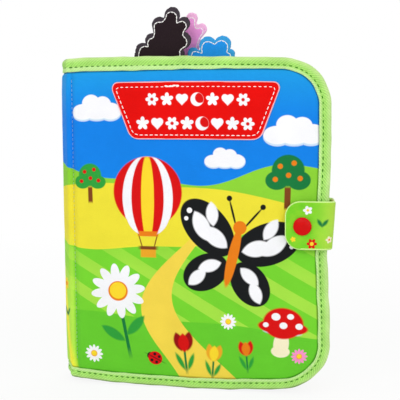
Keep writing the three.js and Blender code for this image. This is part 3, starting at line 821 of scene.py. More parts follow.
def rounded(s, z, end, low, high, radius):
    """Bends the far corners of a rectangular grid onto a rounded outline."""
    middle, half = (low + high) / 2, (high - low) / 2
    across = np.clip((s - (end - radius)) / radius, 0, None)
    up = np.clip((np.abs(z - middle) - (half - radius)) / radius, 0, None)
    corner = (across > 0) & (up > 0)
    reach = np.where(corner, np.hypot(across, up), 1)
    share = np.where(corner, np.maximum(across, up) / reach, 1)
    new_s = end - radius + across * share * radius
    new_z = middle + np.sign(z - middle) * (half - radius + up * share * radius)
    return np.where(corner, new_s, s), np.where(corner, new_z, z)


def edge_distance(s, z, end, low, high, radius):
    """How far a point is inside the outline, which has rounded corners on its far side."""
    across = s - (end - radius)
    up = np.abs(z - (low + high) / 2) - ((high - low) / 2 - radius)
    outside = np.hypot(np.maximum(across, 0), np.maximum(up, 0))
    return radius - outside - np.minimum(np.maximum(across, up), 0)


def lines(*stops):
    """Grid lines through the stops, given as place, step, place, step, place."""
    found = [np.array([stops[0]])]
    for start, step, end in zip(stops[:-2:2], stops[1::2], stops[2::2]):
        count = max(1, round(abs(end - start) / step))
        found.append(np.linspace(start, end, count + 1)[1:])
    return np.concatenate(found)


def gone_along(path):
    """How far along a flat path each of its points is."""
    return np.concatenate([[0], np.cumsum(np.hypot(*np.diff(path, axis=0).T))])


def on_path(path, where):
    """The points of a flat path at the given distances along it."""
    gone = gone_along(path)
    return np.stack([np.interp(where, gone, path[:, 0]), np.interp(where, gone, path[:, 1])], -1)


def grid_faces(number, round_and_round=False):
    """Quads between the rows of a grid of point numbers. Each row may close on itself."""
    after = np.roll(number, -1, axis=1)
    quads = np.stack([number[:-1], number[1:], after[1:], after[:-1]], -1)
    return (quads if round_and_round else quads[:, :-1]).reshape(-1, 4)


def make_piece(name, points, faces, places, materials, kinds=None, sharp=45):
    """A mesh piece with its cloth places as UV, in millimetres, and its faces turned outward."""
    mesh = bpy.data.meshes.new(name)
    mesh.from_pydata(np.asarray(points).tolist(), [], [list(map(int, face)) for face in faces])
    uv = mesh.uv_layers.new(name="cloth")
    corner = np.zeros(len(mesh.loops), np.int32)
    mesh.loops.foreach_get("vertex_index", corner)
    uv.data.foreach_set("uv", np.asarray(places, np.float32)[corner].ravel())
    for material in materials:
        mesh.materials.append(material)
    if kinds is not None:
        mesh.polygons.foreach_set("material_index", np.asarray(kinds, np.int32))
    work = bmesh.new()
    work.from_mesh(mesh)
    bmesh.ops.recalc_face_normals(work, faces=work.faces)
    work.to_mesh(mesh)
    work.free()
    mesh.shade_smooth()
    mesh.set_sharp_from_angle(angle=math.radians(sharp))
    return add_object(name, mesh)


def panel(name, s_lines, z_lines, outline, top, bottom, place, materials,
          top_uv=None, bottom_uv=None, taper=None):
    """A padded cloth panel: a closed form between an outer and an inner skin."""
    s, z = (a.ravel() for a in np.meshgrid(s_lines, z_lines, indexing="ij"))
    s, z = rounded(s, z, *outline)
    if taper:
        z = taper(s, z)
    points = np.concatenate([place(s, z, top(s, z)), place(s, z, -bottom(s, z))])
    total = len(s)
    number = np.arange(total).reshape(len(s_lines), len(z_lines))
    quads = grid_faces(number)
    ring = np.concatenate([number[:-1, 0], number[-1, :-1], number[:0:-1, -1], number[0, :0:-1]])
    after = np.roll(ring, -1)
    rim = np.stack([ring, after, after + total, ring + total], -1)
    faces = np.concatenate([quads, quads[:, ::-1] + total, rim])
    kinds = np.repeat([0, 1, len(materials) - 1], [len(quads), len(quads), len(rim)])
    flat = np.stack([s, z], -1)
    places = [flat if unroll is None else unroll(flat) for unroll in (top_uv, bottom_uv)]
    return make_piece(name, points, faces, np.concatenate(places), materials, kinds)


def flipped(shift):
    """For a cloth that is seen from its other face: its places run the other way from the shift."""
    def unroll(flat):
        return flat * (-1, 1) + (shift, 0)
    return unroll


def edge_rail(start, end, low, high, radius, step):
    """The panel's outline from the fold along the top, round the fore-edge and along the bottom.

    Each row gives s and z, then the way inward from there.
    """
    fold = (start, step, -FOLD_REACH, FOLD_STEP, FOLD_REACH) if start < -FOLD_REACH else (start,)
    along = lines(*fold, step, end - radius)
    arc = [(math.cos(a), math.sin(a))
           for a in np.linspace(math.pi / 2, 0, round(radius * math.pi / 2 / step) + 1)[1:]]
    rows = [(s, high, 0, -1) for s in along]
    rows += [(end - radius + radius * c, high - radius + radius * s, -c, -s) for c, s in arc]
    rows += [(end, z, -1, 0) for z in lines(high - radius, step, low + radius)[1:]]
    rows += [(end - radius + radius * s, low + radius - radius * c, -s, c) for c, s in arc]
    rows += [(s, low, 0, 1) for s in along[::-1][1:]]
    return np.array(rows)


def folded_tape(name, rail, section, wall, place, material, shape):
    """Binding tape folded over an edge: a thin closed band with a U section, swept along the rail.

    The section traces the outer skin from one inner edge, over the fold, to the other.
    """
    across, height = section
    inner_across = np.clip(across + wall * 0.6 * (across < 2), 0, across.max() - 0.1)
    inner_height = np.sign(height) * np.maximum(np.abs(height) - wall, 0.05)
    w = np.concatenate([across, inner_across[::-1]])[None, :] + np.zeros((len(rail), 1))
    h = np.concatenate([height, inner_height[::-1]])[None, :] + np.zeros((len(rail), 1))
    gone = gone_along(rail[:, :2])
    w, h = shape(rail, gone[:, None], w, h)
    s, z = (rail[:, k:k + 1] + rail[:, k + 2:k + 3] * w for k in (0, 1))
    points = place(s.ravel(), z.ravel(), h.ravel())
    number = np.arange(w.size).reshape(w.shape)
    loop = w.shape[1]
    cap = np.array([(j, j + 1, loop - 2 - j, loop - 1 - j) for j in range(loop // 2 - 1)])
    faces = np.concatenate([grid_faces(number, True), cap, cap + number[-1, 0]])
    places = np.stack([np.repeat(gone, loop), w.ravel()], -1)
    return make_piece(name, points, faces, places, [material], sharp=70)


STITCH_STEPS = np.array([-1.0, -0.86, -0.5, 0.0, 0.5, 0.86, 1.0])
STITCH_SWELL = np.array([0.35, 0.8, 1.0, 1.05, 1.0, 0.8, 0.35])
STITCH_RISE = 0.5
STITCH_SIDES = 6
STITCH_WIDE, STITCH_HIGH = 1.2, 0.75


def stitch_row(name, starts, ends, out, radius, sink, material):
    """A row of sewn stitches, each a short round of thread that dives in at both ends."""
    middle, half = (starts + ends) / 2, (ends - starts) / 2
    length = np.linalg.norm(half, axis=1)
    along = unit(half)
    side = unit(np.cross(along, out))
    out = np.cross(side, along)
    points, places = [], []
    for step, swell in zip(STITCH_STEPS, STITCH_SWELL):
        core = middle + half * step + out * ((1 - step**2) * STITCH_RISE - sink) * radius
        for turn in np.arange(STITCH_SIDES) / STITCH_SIDES * math.tau:
            round_core = side * math.cos(turn) * STITCH_WIDE + out * math.sin(turn) * STITCH_HIGH
            points.append(core + round_core * radius * swell)
            places.append(np.stack([step * length / MM, np.full(len(core), turn)], -1))
    number = np.arange(len(points)).reshape(-1, STITCH_SIDES)
    faces = [*grid_faces(number, True), number[0], number[-1]]
    all_faces = [face + count * len(points) for count in range(len(middle)) for face in faces]
    points = np.stack(points, 1).reshape(-1, 3)
    places = np.stack(places, 1).reshape(-1, 2)
    return make_piece(name, points, all_faces, places, [material], sharp=80)


def surface_stitches(name, path, height, place, pitch, length, radius, material, sink=0.35):
    """Stitches of one length, a pitch apart, that follow a flat path over a padded surface."""
    total = gone_along(path)[-1]
    count = round(total / pitch)
    first = (np.arange(count) + 0.1) * total / count
    a, b = on_path(path, first), on_path(path, first + length)
    start, end = (place(*flat.T, height(*flat.T)) for flat in (a, b))
    s, z = ((a + b) / 2).T
    level = height(s, z)
    out = unit(place(s, z, level + 1) - place(s, z, level))
    return stitch_row(name, start, end, out, radius * MM, sink, material)


def raised(base, lift):
    """The height function of something that lies a lift above a base."""
    def height(s, z):
        return base(s, z) + lift
    return height


def flat_level(s, z):
    """A level base at height 0."""
    return np.zeros_like(s)


# How the sewn cover leaves its straight outline: distance from the fold, then how far its edge
# has moved up.
TOP_RISE = np.array([
    (-30, 0.3), (0, 0.6), (18, 1.4), (45, 1.4), (80, 1.2), (105, 0.7), (124, 0.0), (139, -0.35),
    (150, -0.9), (161, -1.1), (172, -0.7), (184, 0.4), (192, 0.8)])
BOTTOM_RISE = np.array([
    (-30, 4.0), (-11, 3.2), (-4, 2.4), (1, 1.8), (16, 0.95), (32, -0.35), (70, -1.1),
    (100, -1.35), (125, -0.5), (140, 0.5), (155, 1.4), (172, 3.0), (192, 3.6)])

# How far the fore-edge is drawn in: by the strap, by the sewing and near its top corner
STRAP_PULL = 2.5
STRAP_PULL_Z = 110.0
STRAP_SPREAD = 46.0
FORE_EDGE_DRAWN = {FRONT: -0.3, BACK: 2.8}
CORNER_DRAWN = 0.7
CORNER_DRAWN_Z = (165, 225)


def sewn_outline(side, s, z):
    """Where a sewn cover's edges really run: bowed at top and bottom, drawn in by the strap."""
    up = (z - HALF_HEIGHT) / HALF_HEIGHT
    rise = np.where(up > 0, np.interp(s, *TOP_RISE.T), np.interp(s, *BOTTOM_RISE.T)) * up**2
    drawn = STRAP_PULL * hump(z, STRAP_PULL_Z, STRAP_SPREAD) + FORE_EDGE_DRAWN[side]
    drawn = drawn + CORNER_DRAWN * smooth(z, *CORNER_DRAWN_Z)
    return s - drawn * np.clip(s / COVER_WIDTH, 0, 1) ** 3, z + rise


def cover_place(side):
    """Puts a point of a cover cloth, or of its half of the spine, where the closed book has it."""
    def place(s, z, h):
        flat_s, flat_z = sewn_outline(side, s, z + 0 * s)
        angle = SPINE_ANGLE + np.minimum(s, FOLD_BLEND) / SPINE_RADIUS
        lean = SPINE_LEAN * (z - HALF_HEIGHT) / HALF_HEIGHT - SPINE_SHIFT
        arc_x = SPINE_CENTRE + lean - (SPINE_RADIUS + h) * np.cos(angle)
        arc_y = (SPINE_RADIUS + h) * np.sin(angle)
        share = smooth(s, -FOLD_BLEND, FOLD_BLEND)
        x = arc_x + (flat_s - arc_x) * share
        y = arc_y + (HALF_PITCH + h - arc_y) * share
        return np.stack([FOLD_X + x, BOOK_MIDDLE_Y - side * y, flat_z], -1) * MM
    return place


def leaf_place(leaf_y):
    """Puts a point of a leaf where the closed book has it."""
    def place(s, z, h):
        return np.stack([FOLD_X + s, leaf_y - h, z + 0 * s], -1) * MM
    return place


def turned_over(place):
    """The same surface seen from its other face."""
    def other_face(s, z, h):
        return place(s, z, -h)
    return other_face


# The padding's skin: at the tape's seam, in the sewn fold, and how it puffs up between them
CHANNEL_HEIGHT = 3.15
FOLD_HEIGHT = 1.1
CREASE_WIDTH = 1.7
PUFF_RUN = 13
PUFF_AT_FOLD = 0.42
CREEP = ((0.26, 46), (0.1, 17))
PUCKER, PUCKER_PITCH, PUCKER_RUN = 0.13, 7.1, 5
SEAM_GROOVE = 0.6
SPINE_DIP = 2.0
TAPE_DIP = 1.6
INNER_PRESS = 0.5
TAPE_PINCH = 0.46


def open_fold(s):
    """0 in the sewn fold, 1 away from it."""
    return 1 - np.exp(-((np.abs(s) / CREASE_WIDTH) ** 1.6))


def tape_crease(s):
    """The tape is pinched where it crosses the fold."""
    return 1 - TAPE_PINCH * hump(s, 0, CREASE_WIDTH)


def tape_width(s, z):
    """The tape shows wider along the top edge near the spine."""
    return TAPE_WIDTH + TAPE_EXTRA * smooth(z, *TAPE_EXTRA_Z) * (1 - smooth(s, *TAPE_EXTRA_S))


def spine_dip(s):
    """The outer cloth is stretched tight round the spine, with less padding under it."""
    return SPINE_DIP * smooth(-s, 1.5, 9)


def fold_thin(s):
    """The inner side is pressed flatter beside the fold, where the first leaf lies against it."""
    return 1 - INNER_PRESS * hump(s, -3, 5)


def skin_height(crown, seed, outer):
    """Height of a cover's skin: held down at the tape and the fold, puffed up between them."""
    def height(s, z):
        inward = edge_distance(s, z, *COVER_OUTLINE) - tape_width(s, z)
        within = np.maximum(inward, 0)
        room = crown * (PUFF_AT_FOLD + (1 - PUFF_AT_FOLD) * smooth(s, -4, 6))
        full = CHANNEL_HEIGHT - 0.8 * smooth(-inward, 3, 8)
        full = full + room * (1 - np.exp(-within / PUFF_RUN))
        free = smooth(inward, 0, 16) * smooth(np.abs(s), 1, 12) * (0.3 + 0.7 * smooth(s, -3, 8))
        for count, (rise, wavelength) in enumerate(CREEP):
            full = full + free * rise * ripples(s, z, seed + count, wavelength)
        pucker = np.sin((s + z) * math.tau / PUCKER_PITCH + 1.7 * np.sin((s - z) / 21))
        full = full + PUCKER * pucker * np.exp(-within / PUCKER_RUN) * (inward > -2)
        full = full - SEAM_GROOVE * hump(inward, 0.2, 1.1)
        full = FOLD_HEIGHT + (full - FOLD_HEIGHT) * open_fold(s)
        tight = 1 + (TAPE_DIP - 1) * (1 - smooth(inward, -0.5, 2.5))
        return full - spine_dip(s) * tight if outer else full * fold_thin(s)
    return height


OUTER_HEIGHT = {FRONT: skin_height(1.75, 21, True), BACK: skin_height(1.75, 31, True)}
INNER_HEIGHT = skin_height(0.75, 41, False)
COVER_NAME = {FRONT: "front", BACK: "back"}
QUILT_INSET = 1.3
QUILT_STEP = 1.35


def blend_fold(piece, side):
    """Bakes a piece's place into its mesh points, the same for either cover."""
    if side == FRONT:
        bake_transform(piece)
    else:
        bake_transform(piece)


def make_quilt(side, materials):
    """Cover and half the spine as one padded cloth body, from fore-edge to the spine's middle."""
    end, high = COVER_WIDTH - QUILT_INSET, COVER_HEIGHT - QUILT_INSET
    s_lines = lines(-SPINE_REACH, QUILT_INSET, -FOLD_REACH, FOLD_STEP, FOLD_REACH, QUILT_STEP, end)
    z_lines = lines(QUILT_INSET, QUILT_STEP, high)
    outline = (end, QUILT_INSET, high, COVER_RADIUS - QUILT_INSET)
    cloths = [materials[f"{COVER_NAME[side]}_print_cloth"], materials["lining_cloth"]]
    quilt = panel(f"{COVER_NAME[side]}_quilt", s_lines, z_lines, outline, OUTER_HEIGHT[side],
                  INNER_HEIGHT, cover_place(side), cloths,
                  top_uv=None if side == FRONT else flipped(-BACK_PRINT_SHIFT))
    blend_fold(quilt, side)
    if side == FRONT:
        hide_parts("front_print", "front_core", "front_lining", "front_fold",
                    "spine_print", "spine_core", "spine_lining")
    else:
        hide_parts("back_print", "back_core", "back_lining", "rear_fold")


# A tape's section on one face: a lip, a sewn groove and a rounded fold
TAPE_ACROSS = np.array([10, 9.96, 9.6, 8.5, 7.3, 6.6, 5.9, 5.0, 3.8, 2.4, 1.1, 0.3, 0.0])
TAPE_HEIGHT = np.array([2.5, 3.75, 3.98, 3.95, 3.72, 3.58, 3.72, 4.0, 4.15, 4.0, 3.35, 2.1, 0.8])
INNER_TAPE_SHARE = 0.92
OUTER_SEAM, INNER_SEAM = 3.66, 3.3


def tape_section(width, half, inner_share=1.0):
    """A tape's whole U section: across from the edge, and height over the middle."""
    across = TAPE_ACROSS * width / TAPE_ACROSS.max()
    height = TAPE_HEIGHT * half / TAPE_HEIGHT.max()
    return (np.concatenate([across, across[::-1]]),
            np.concatenate([height, -height[::-1] * inner_share]))


def tape_shape(width, amount, seed, on_cover=False):
    """Gathers at the corners, dips at the stitches and a slightly uneven edge."""
    def shape(rail, gone, w, h):
        s, z = rail[:, 0:1], rail[:, 1:2]
        if on_cover:
            h = h - (h > 0) * TAPE_DIP * spine_dip(s)
            h = np.where(h < 0, h * fold_thin(s), h)
        else:
            h = h * leaf_thin(s)
        corner = 2 * np.abs(rail[:, 2:3] * rail[:, 3:4])
        face = np.sign(h)
        seam = hump(w, TAPE_SEAM * width, 0.1 * width)
        h = h - face * 0.14 * amount * seam * np.cos(gone * math.tau / STITCH_PITCH)
        gather = np.sin(gone * math.tau / 5.3 + 0.9 * np.sin(gone / 7))
        h = h + face * 0.24 * amount * gather * corner * smooth(w, 0.35 * width, 0.8 * width)
        h = h + face * 0.1 * amount * ripples(gone + 0 * w, w, seed, 24)
        w = w + 0.2 * amount * ripples(gone + 0 * w, 0 * w, seed + 3, 19)
        if on_cover:
            w, h = w * tape_width(s, z) / width, h * tape_crease(s)
        return w, h
    return shape


def outer_seam(s, z):
    """Height of the tape's stitches on the outside of a cover."""
    return (OUTER_SEAM - TAPE_DIP * spine_dip(s)) * tape_crease(s)


def inner_seam(s, z):
    """Height of the tape's stitches on the inside of a cover."""
    return INNER_SEAM * fold_thin(s) * tape_crease(s)


def make_cover_tape(side, materials):
    """The tape over a cover's three free edges and half the spine's, with both its stitch rows."""
    name = f"{COVER_NAME[side]}_tape"
    rail = edge_rail(-SPINE_REACH, *COVER_OUTLINE, 1.0)
    tape = folded_tape(name, rail, tape_section(TAPE_WIDTH, TAPE_HALF, INNER_TAPE_SHARE), TAPE_WALL,
                       cover_place(side), materials["lime_twill"],
                       tape_shape(TAPE_WIDTH, 1.0, 5 + side, on_cover=True))
    blend_fold(tape, side)
    if side == FRONT:
        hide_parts("front_binding", "spine_top_binding")
    else:
        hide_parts("back_binding", "spine_bottom_binding")
    path = rail[:, :2] + rail[:, 2:] * TAPE_SEAM * tape_width(rail[:, 0:1], rail[:, 1:2])
    for face, level, place in (("outer", outer_seam, cover_place(side)),
                               ("inner", inner_seam, turned_over(cover_place(side)))):
        row = surface_stitches(f"{name}_{face}_stitches", path, level, place, STITCH_PITCH,
                               2.5, 0.34, materials["green_thread"])
        blend_fold(row, side)


def make_fold_stitches(side, materials):
    """The row of clear thread that sews the fold flat."""
    name = "front_fold_stitches" if side == FRONT else "rear_fold_stitches"
    path = np.array([(0.0, 230.0), (0.0, 15.0)])
    row = surface_stitches(name, path, raised(flat_level, FOLD_HEIGHT + 0.1), cover_place(side),
                           3.3, 2.4, 0.22, materials["clear_thread"])
    blend_fold(row, side)


def rounded_polygon(corners, radii, step):
    """A closed outline with round corners, as points one step apart."""
    points = []
    for k, radius in enumerate(radii):
        corner = corners[k]
        before = unit(corners[k - 1] - corner)
        after = unit(corners[(k + 1) % len(corners)] - corner)
        half = math.acos(float(before @ after)) / 2
        middle = corner + unit(before + after) * radius / math.sin(half)
        first, last = (corner + way * radius / math.tan(half) - middle for way in (before, after))
        start = math.atan2(first[1], first[0])
        sweep = (math.atan2(last[1], last[0]) - start + math.pi) % math.tau - math.pi
        count = max(4, round(abs(sweep) * radius / step))
        for turn in np.linspace(start, start + sweep, count + 1):
            points.append(middle + radius * np.array([math.cos(turn), math.sin(turn)]))
    return even_outline(np.array(points), step)


def even_outline(points, step):
    """The same closed outline with its points evenly apart."""
    closed = np.vstack([points, points[:1]])
    total = gone_along(closed)[-1]
    return on_path(closed, np.linspace(0, total, round(total / step), endpoint=False))


def inset_outline(outline, centre, inset, pull=0.0):
    """Moves each point of an outline towards the centre.

    It goes by the pull at least, and until it is the inset away from the edge.
    """
    reach = outline - centre
    length = np.hypot(*reach.T)
    found = np.full(len(outline), np.nan)
    for share in np.linspace(0.999, 0.3, 240):
        left = np.flatnonzero(np.isnan(found) & (length * (1 - share) >= pull))
        points = centre + reach[left] * share
        if len(left):
            gap = np.hypot(*(points[:, None] - outline[None]).transpose(2, 0, 1)).min(1)
            found[left[gap >= inset]] = share
        if not np.isnan(found).any():
            break
    return centre + reach * np.nan_to_num(found, nan=0.3)[:, None]


def closed_seam(outline, centre, inset, pull):
    """A closed line of stitches inside an outline."""
    seam = inset_outline(outline, centre, inset, pull)
    return np.vstack([seam, seam[:1]])


def applique(name, outline, centre, edge, inner, crown, base, under, place, materials, band,
             lean=1.0):
    """A flat closed cloth shape: rings that round its edge over, then rings in to its centre.

    The edge gives each ring's inset and height. base gives the height of what the shape lies on,
    and under how far its underside stands from there. lean below 1 lets the rings follow the
    outline's lobes less closely in its valleys. The first rings, as many as band says, take the
    last material.
    """
    rings, levels = [], []
    for inset, height in edge:
        rings.append(inset_outline(outline, centre, inset * lean, inset) if inset else outline)
        levels.append(height)
    last, top = rings[-1], levels[-1]
    for share in np.linspace(1, 0, inner + 1)[1:-1]:
        rings.append(centre + (last - centre) * share)
        levels.append(top + crown * (1 - share**2.5))
    count = len(outline)
    number = np.arange(len(rings) * count).reshape(-1, count)
    flat = np.vstack([*rings, centre[None, :]])
    level = np.append(np.repeat(levels, count), top + crown)
    points = place(*flat.T, base(*flat.T) + level)
    low = np.vstack([outline * 0.992 + centre * 0.008, centre[None, :]])
    low_points = place(*low.T, base(*low.T) + under)
    below = np.arange(count) + len(flat)
    skirt = grid_faces(np.stack([below, number[0]]), True)
    fans = [np.stack([ring, np.roll(ring, -1), np.full(count, middle)], -1)
            for ring, middle in ((number[-1], len(flat) - 1), (below, len(flat) + count))]
    edge_kind = len(materials) - 1
    faces = [*grid_faces(number, True), *fans[0], *skirt, *fans[1]]
    kinds = np.repeat([edge_kind, 0, edge_kind, 0],
                      [band * count, (len(rings) - band) * count, count, count])
    return make_piece(name, np.vstack([points, low_points]), faces, np.vstack([flat, low]),
                      materials, kinds)


PATCH_CORNERS = np.array([(30.1, 226.8), (46.0, 185.6), (142.1, 185.6), (158.1, 227.8)])
PATCH_RADII = (4.5, 9, 9, 4.5)
PATCH_CENTRE = np.array([93.6, 206.4])
PATCH_EDGE = ((0, 0.25), (0, 0.6), (0.25, 0.85), (0.75, 0.9), (1.3, 0.95), (2.2, 0.9), (2.9, 0.78),
              (3.6, 0.92), (4.6, 1.05))
PATCH_TACK = np.array([(71.6, 223.9), (75.2, 223.3), (79.0, 224.2), (82.8, 223.9)])


def make_patch(materials):
    """The red title patch, sewn on with white thread and tacked where the seam closes."""
    outline = rounded_polygon(PATCH_CORNERS, PATCH_RADII, 1.1)
    base, place = OUTER_HEIGHT[FRONT], cover_place(FRONT)
    patch = applique("title_patch_cloth", outline, PATCH_CENTRE, PATCH_EDGE, 26, 0.55, base, -0.35,
                     place, [materials["patch_cloth"], materials["patch_edge_cloth"]], 3)
    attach(patch, "front_cover")
    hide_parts("title_patch")
    seam = closed_seam(outline, PATCH_CENTRE, 3.2, 3.2)
    seam[:, 1] -= 0.7 * smooth(seam[:, 1], 195, 222)
    for name, path, lift, pitch, length, radius in (
            ("patch_stitches", seam, 0.86, 3.8, 2.6, 0.26),
            ("patch_back_tack", PATCH_TACK, 1.0, 2.9, 2.9, 0.5)):
        row = surface_stitches(name, path, raised(base, lift), place, pitch, length, radius,
                               materials["white_thread"])
        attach(row, "front_cover")


GUTTER_TAPER = 0.058
GUTTER_HALF = 0.75


def leaf_thin(s):
    """A leaf gets thinner towards the gutter, so that it can lie close to a cover."""
    return 0.46 + 0.54 * smooth(s, 9, 28)


def leaf_skin(seed):
    """Height of one face of a leaf over its middle."""
    def height(s, z):
        inward = edge_distance(s, z, *LEAF_OUTLINE)
        full = 1.5 + 0.6 * smooth(inward, 4, 26)
        full = full + 0.07 * ripples(s, z, seed, 33) * smooth(inward, 6, 20)
        return GUTTER_HALF + (full * leaf_thin(s) - GUTTER_HALF) * smooth(s, 0.8, 6)
    return height


def leaf_seam(s, z):
    """Height of the stitches on a leaf's tape."""
    return 2.62 * leaf_thin(s)


def narrow_gutter(s, z):
    """The gutter cloth is a little shorter than the leaf, and clears the covers' tape."""
    middle = (LEAF_LOW + LEAF_HIGH) / 2
    return middle + (z - middle) * (1 - GUTTER_TAPER * (1 - smooth(s, -2, 4)))


def make_leaf(number, materials):
    """One cloth leaf: two pages over a soft core, its tape, and the gutter cloth it turns on."""
    leaf_y, body = LEAF_Y[number], f"leaf_{number + 1}"
    place = leaf_place(leaf_y)
    s_lines = lines(GUTTER_START[number], 1.6, -3, 0.5, 3, 2.6, LEAF_WIDTH - 1)
    z_lines = lines(LEAF_LOW + 1, 2.6, LEAF_HIGH - 1)
    outline = (LEAF_WIDTH - 1, LEAF_LOW + 1, LEAF_HIGH - 1, LEAF_RADIUS - 1)
    pages = [materials[f"page_cloth_{2 * number + face}"] for face in (1, 2)]
    pad = panel(f"{body}_pad", s_lines, z_lines, outline, leaf_skin(60 + number),
                leaf_skin(70 + number), place, pages, bottom_uv=flipped(LEAF_WIDTH),
                taper=narrow_gutter)
    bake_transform(pad)
    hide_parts(f"{body}_front_cloth", f"{body}_core", f"{body}_back_cloth", f"{body}_stub")
    rail = edge_rail(0.9, *LEAF_OUTLINE, 1.4)
    tape = folded_tape(f"{body}_tape", rail, tape_section(LEAF_TAPE_WIDTH, LEAF_TAPE_HALF),
                       LEAF_TAPE_WALL, place, materials["orange_twill"],
                       tape_shape(LEAF_TAPE_WIDTH, 0.6, 50 + number))
    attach(tape, body)
    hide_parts(f"{body}_binding")
    path = rail[:, :2] + rail[:, 2:] * TAPE_SEAM * LEAF_TAPE_WIDTH
    for face, way in (("front", place), ("rear", turned_over(place))):
        row = surface_stitches(f"{body}_{face}_stitches", path, leaf_seam, way, STITCH_PITCH,
                               2.6, 0.24, materials["white_thread"])
        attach(row, body)


# Each felt shape: its leaf, where its left side is, width, rise above the covers and base share,
# and its lobes as across share, up share and radius share of the width.
FELT_SHAPES = {
    "black": (0, 46.4, 43.0, 37.2, 0.886, (
        (0.156, 0.151, 0.142), (0.309, 0.362, 0.116), (0.453, 0.658, 0.135),
        (0.677, 0.841, 0.133), (0.877, 0.674, 0.109), (0.863, 0.348, 0.14))),
    "blue": (1, 85.1, 35.6, 16.5, 1.0, (
        (0.124, 0.22, 0.124), (0.435, 0.565, 0.181), (0.743, 0.59, 0.178), (0.895, 0.155, 0.105))),
    "pink": (2, 69.0, 29.6, 34.2, 0.72, (
        (0.17, 0.24, 0.17), (0.153, 0.5, 0.153), (0.31, 0.76, 0.15), (0.617, 0.87, 0.146),
        (0.864, 0.638, 0.136))),
}
FELT_ROOT_Z = 233.0
FELT_EDGE = ((0, 0.45), (0.1, 0.8), (0.4, 1.02), (0.9, 1.08), (2.7, 1.1), (3.35, 0.96), (3.9, 1.16),
             (5.0, 1.2))


def inside_polygon(u, z, corners):
    """Which of the points lie inside a closed polygon."""
    odd = np.zeros(u.shape, bool)
    for (u0, z0), (u1, z1) in zip(corners, np.roll(corners, -1, axis=0)):
        if z0 != z1:
            odd ^= ((z > z0) != (z > z1)) & (u < u0 + (z - z0) / (z1 - z0) * (u1 - u0))
    return odd


def felt_outline(left, width, rise, base_share, lobes):
    """The scalloped outline: the farthest point of any lobe, or of the root, in each direction."""
    right = left + base_share * width
    centre = np.array([(left + right) / 2, COVER_HEIGHT + 0.3 * rise - 11])
    angle = np.linspace(0, math.tau, 900, endpoint=False)
    ways = np.stack([np.cos(angle), np.sin(angle)], -1)
    reach = np.arange(0.5, 60, 0.08)
    points = centre + ways[:, None, :] * reach[None, :, None]
    u, z = points[..., 0], points[..., 1]
    inside = (u > left) & (u < right) & (z > FELT_ROOT_Z) & (z < COVER_HEIGHT + 0.12 * rise)
    middles = [(left + across * width, COVER_HEIGHT + up * rise) for across, up, _ in lobes]
    inside |= inside_polygon(u, z, np.array([(left, FELT_ROOT_Z), *middles, (right, FELT_ROOT_Z)]))
    for (middle_u, middle_z), (_, _, radius) in zip(middles, lobes):
        inside |= np.hypot(u - middle_u, z - middle_z) < radius * width
    far = np.where(inside, reach[None, :], 0).max(1)
    return even_outline(centre + ways * far[:, None], 0.55), centre


def make_felt(colour, materials):
    """A scalloped shape that stands out of the pages: two plies sewn together near the edge."""
    number, left, width, rise, base_share, lobes = FELT_SHAPES[colour]
    outline, centre = felt_outline(left, width, rise, base_share, lobes)
    rough = 0.16 * ripples(outline[:, 0] * 3, outline[:, 1] * 3, 90 + number, 9)
    outline = outline + unit(outline - centre) * rough[:, None]
    seam = closed_seam(outline, centre, 1.34, 3.35) - (0, 0.4)
    body = f"leaf_{number + 1}"
    # The edge band takes the rim material: painted light on the thin felt edge.
    cloths = [materials[f"{colour}_felt_cloth"], materials[f"{colour}_felt_rim"]]

    def uneven(s, z):
        return 0.06 * ripples(s, z, 95 + number, 11)

    for face, place in (("front", leaf_place(LEAF_Y[number])),
                        ("back", turned_over(leaf_place(LEAF_Y[number])))):
        ply = applique(f"{colour}_{face}_ply", outline, centre, FELT_EDGE, 12, 0.05, uneven, 0.06,
                       place, cloths, 5, 0.4)
        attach(ply, body)
        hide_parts(f"{colour}_felt_{face}")
        row = surface_stitches(f"{colour}_{face}_stitches", seam, raised(flat_level, 1.1), place,
                               3.0, 2.9, 0.28, materials["white_thread"], sink=0.1)
        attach(row, body)


def strap_place(side):
    """Along the strap from the middle of the fore-edge, round the corner and over one cover."""
    corner = np.array([STRAP_CORNER_X[side], STRAP_Y[side]])
    middle_y = (STRAP_Y[FRONT] + STRAP_Y[BACK]) / 2
    start = np.array([(STRAP_CORNER_X[FRONT] + STRAP_CORNER_X[BACK]) / 2, middle_y])
    way = unit(corner - start)
    turn = math.acos(-way[0])
    radius = STRAP_BEND[side]
    cut_off = radius * math.tan(turn / 2)
    straight = np.linalg.norm(corner - start) - cut_off
    over_corner = straight + radius * turn
    reach = over_corner + STRAP_CORNER_X[side] - cut_off - STRAP_X + STRAP_REACH[side]
    first = math.atan2(-side * way[1], way[0])

    def place(s, z, h):
        heading = first + np.clip(s - straight, 0, radius * turn) / radius
        before = np.minimum(s, straight)
        after = np.maximum(s - over_corner, 0)
        x = start[0] + way[0] * before + radius * (np.sin(heading) - math.sin(first)) - after
        y = abs(way[1]) * before + radius * (np.cos(first) - np.cos(heading))
        x, y = x + np.sin(heading) * h, y - np.cos(heading) * h
        lean = STRAP_LEAN * (z - STRAP_Z) / (STRAP_HEIGHT / 2)
        x = x + lean * (1 - smooth(s, over_corner, over_corner + 22))
        sunk = STRAP_SKEW / 2 * (1 - side * smooth(s, 2, over_corner))
        return np.stack([FOLD_X + x, middle_y - side * y, z - sunk], -1) * MM
    return place, over_corner, reach


STRAP_ROUND = 1.1
SNAP_DIP, SNAP_DIP_RADIUS, SNAP_DIP_WIDE = 0.5, 6.2, 1.7


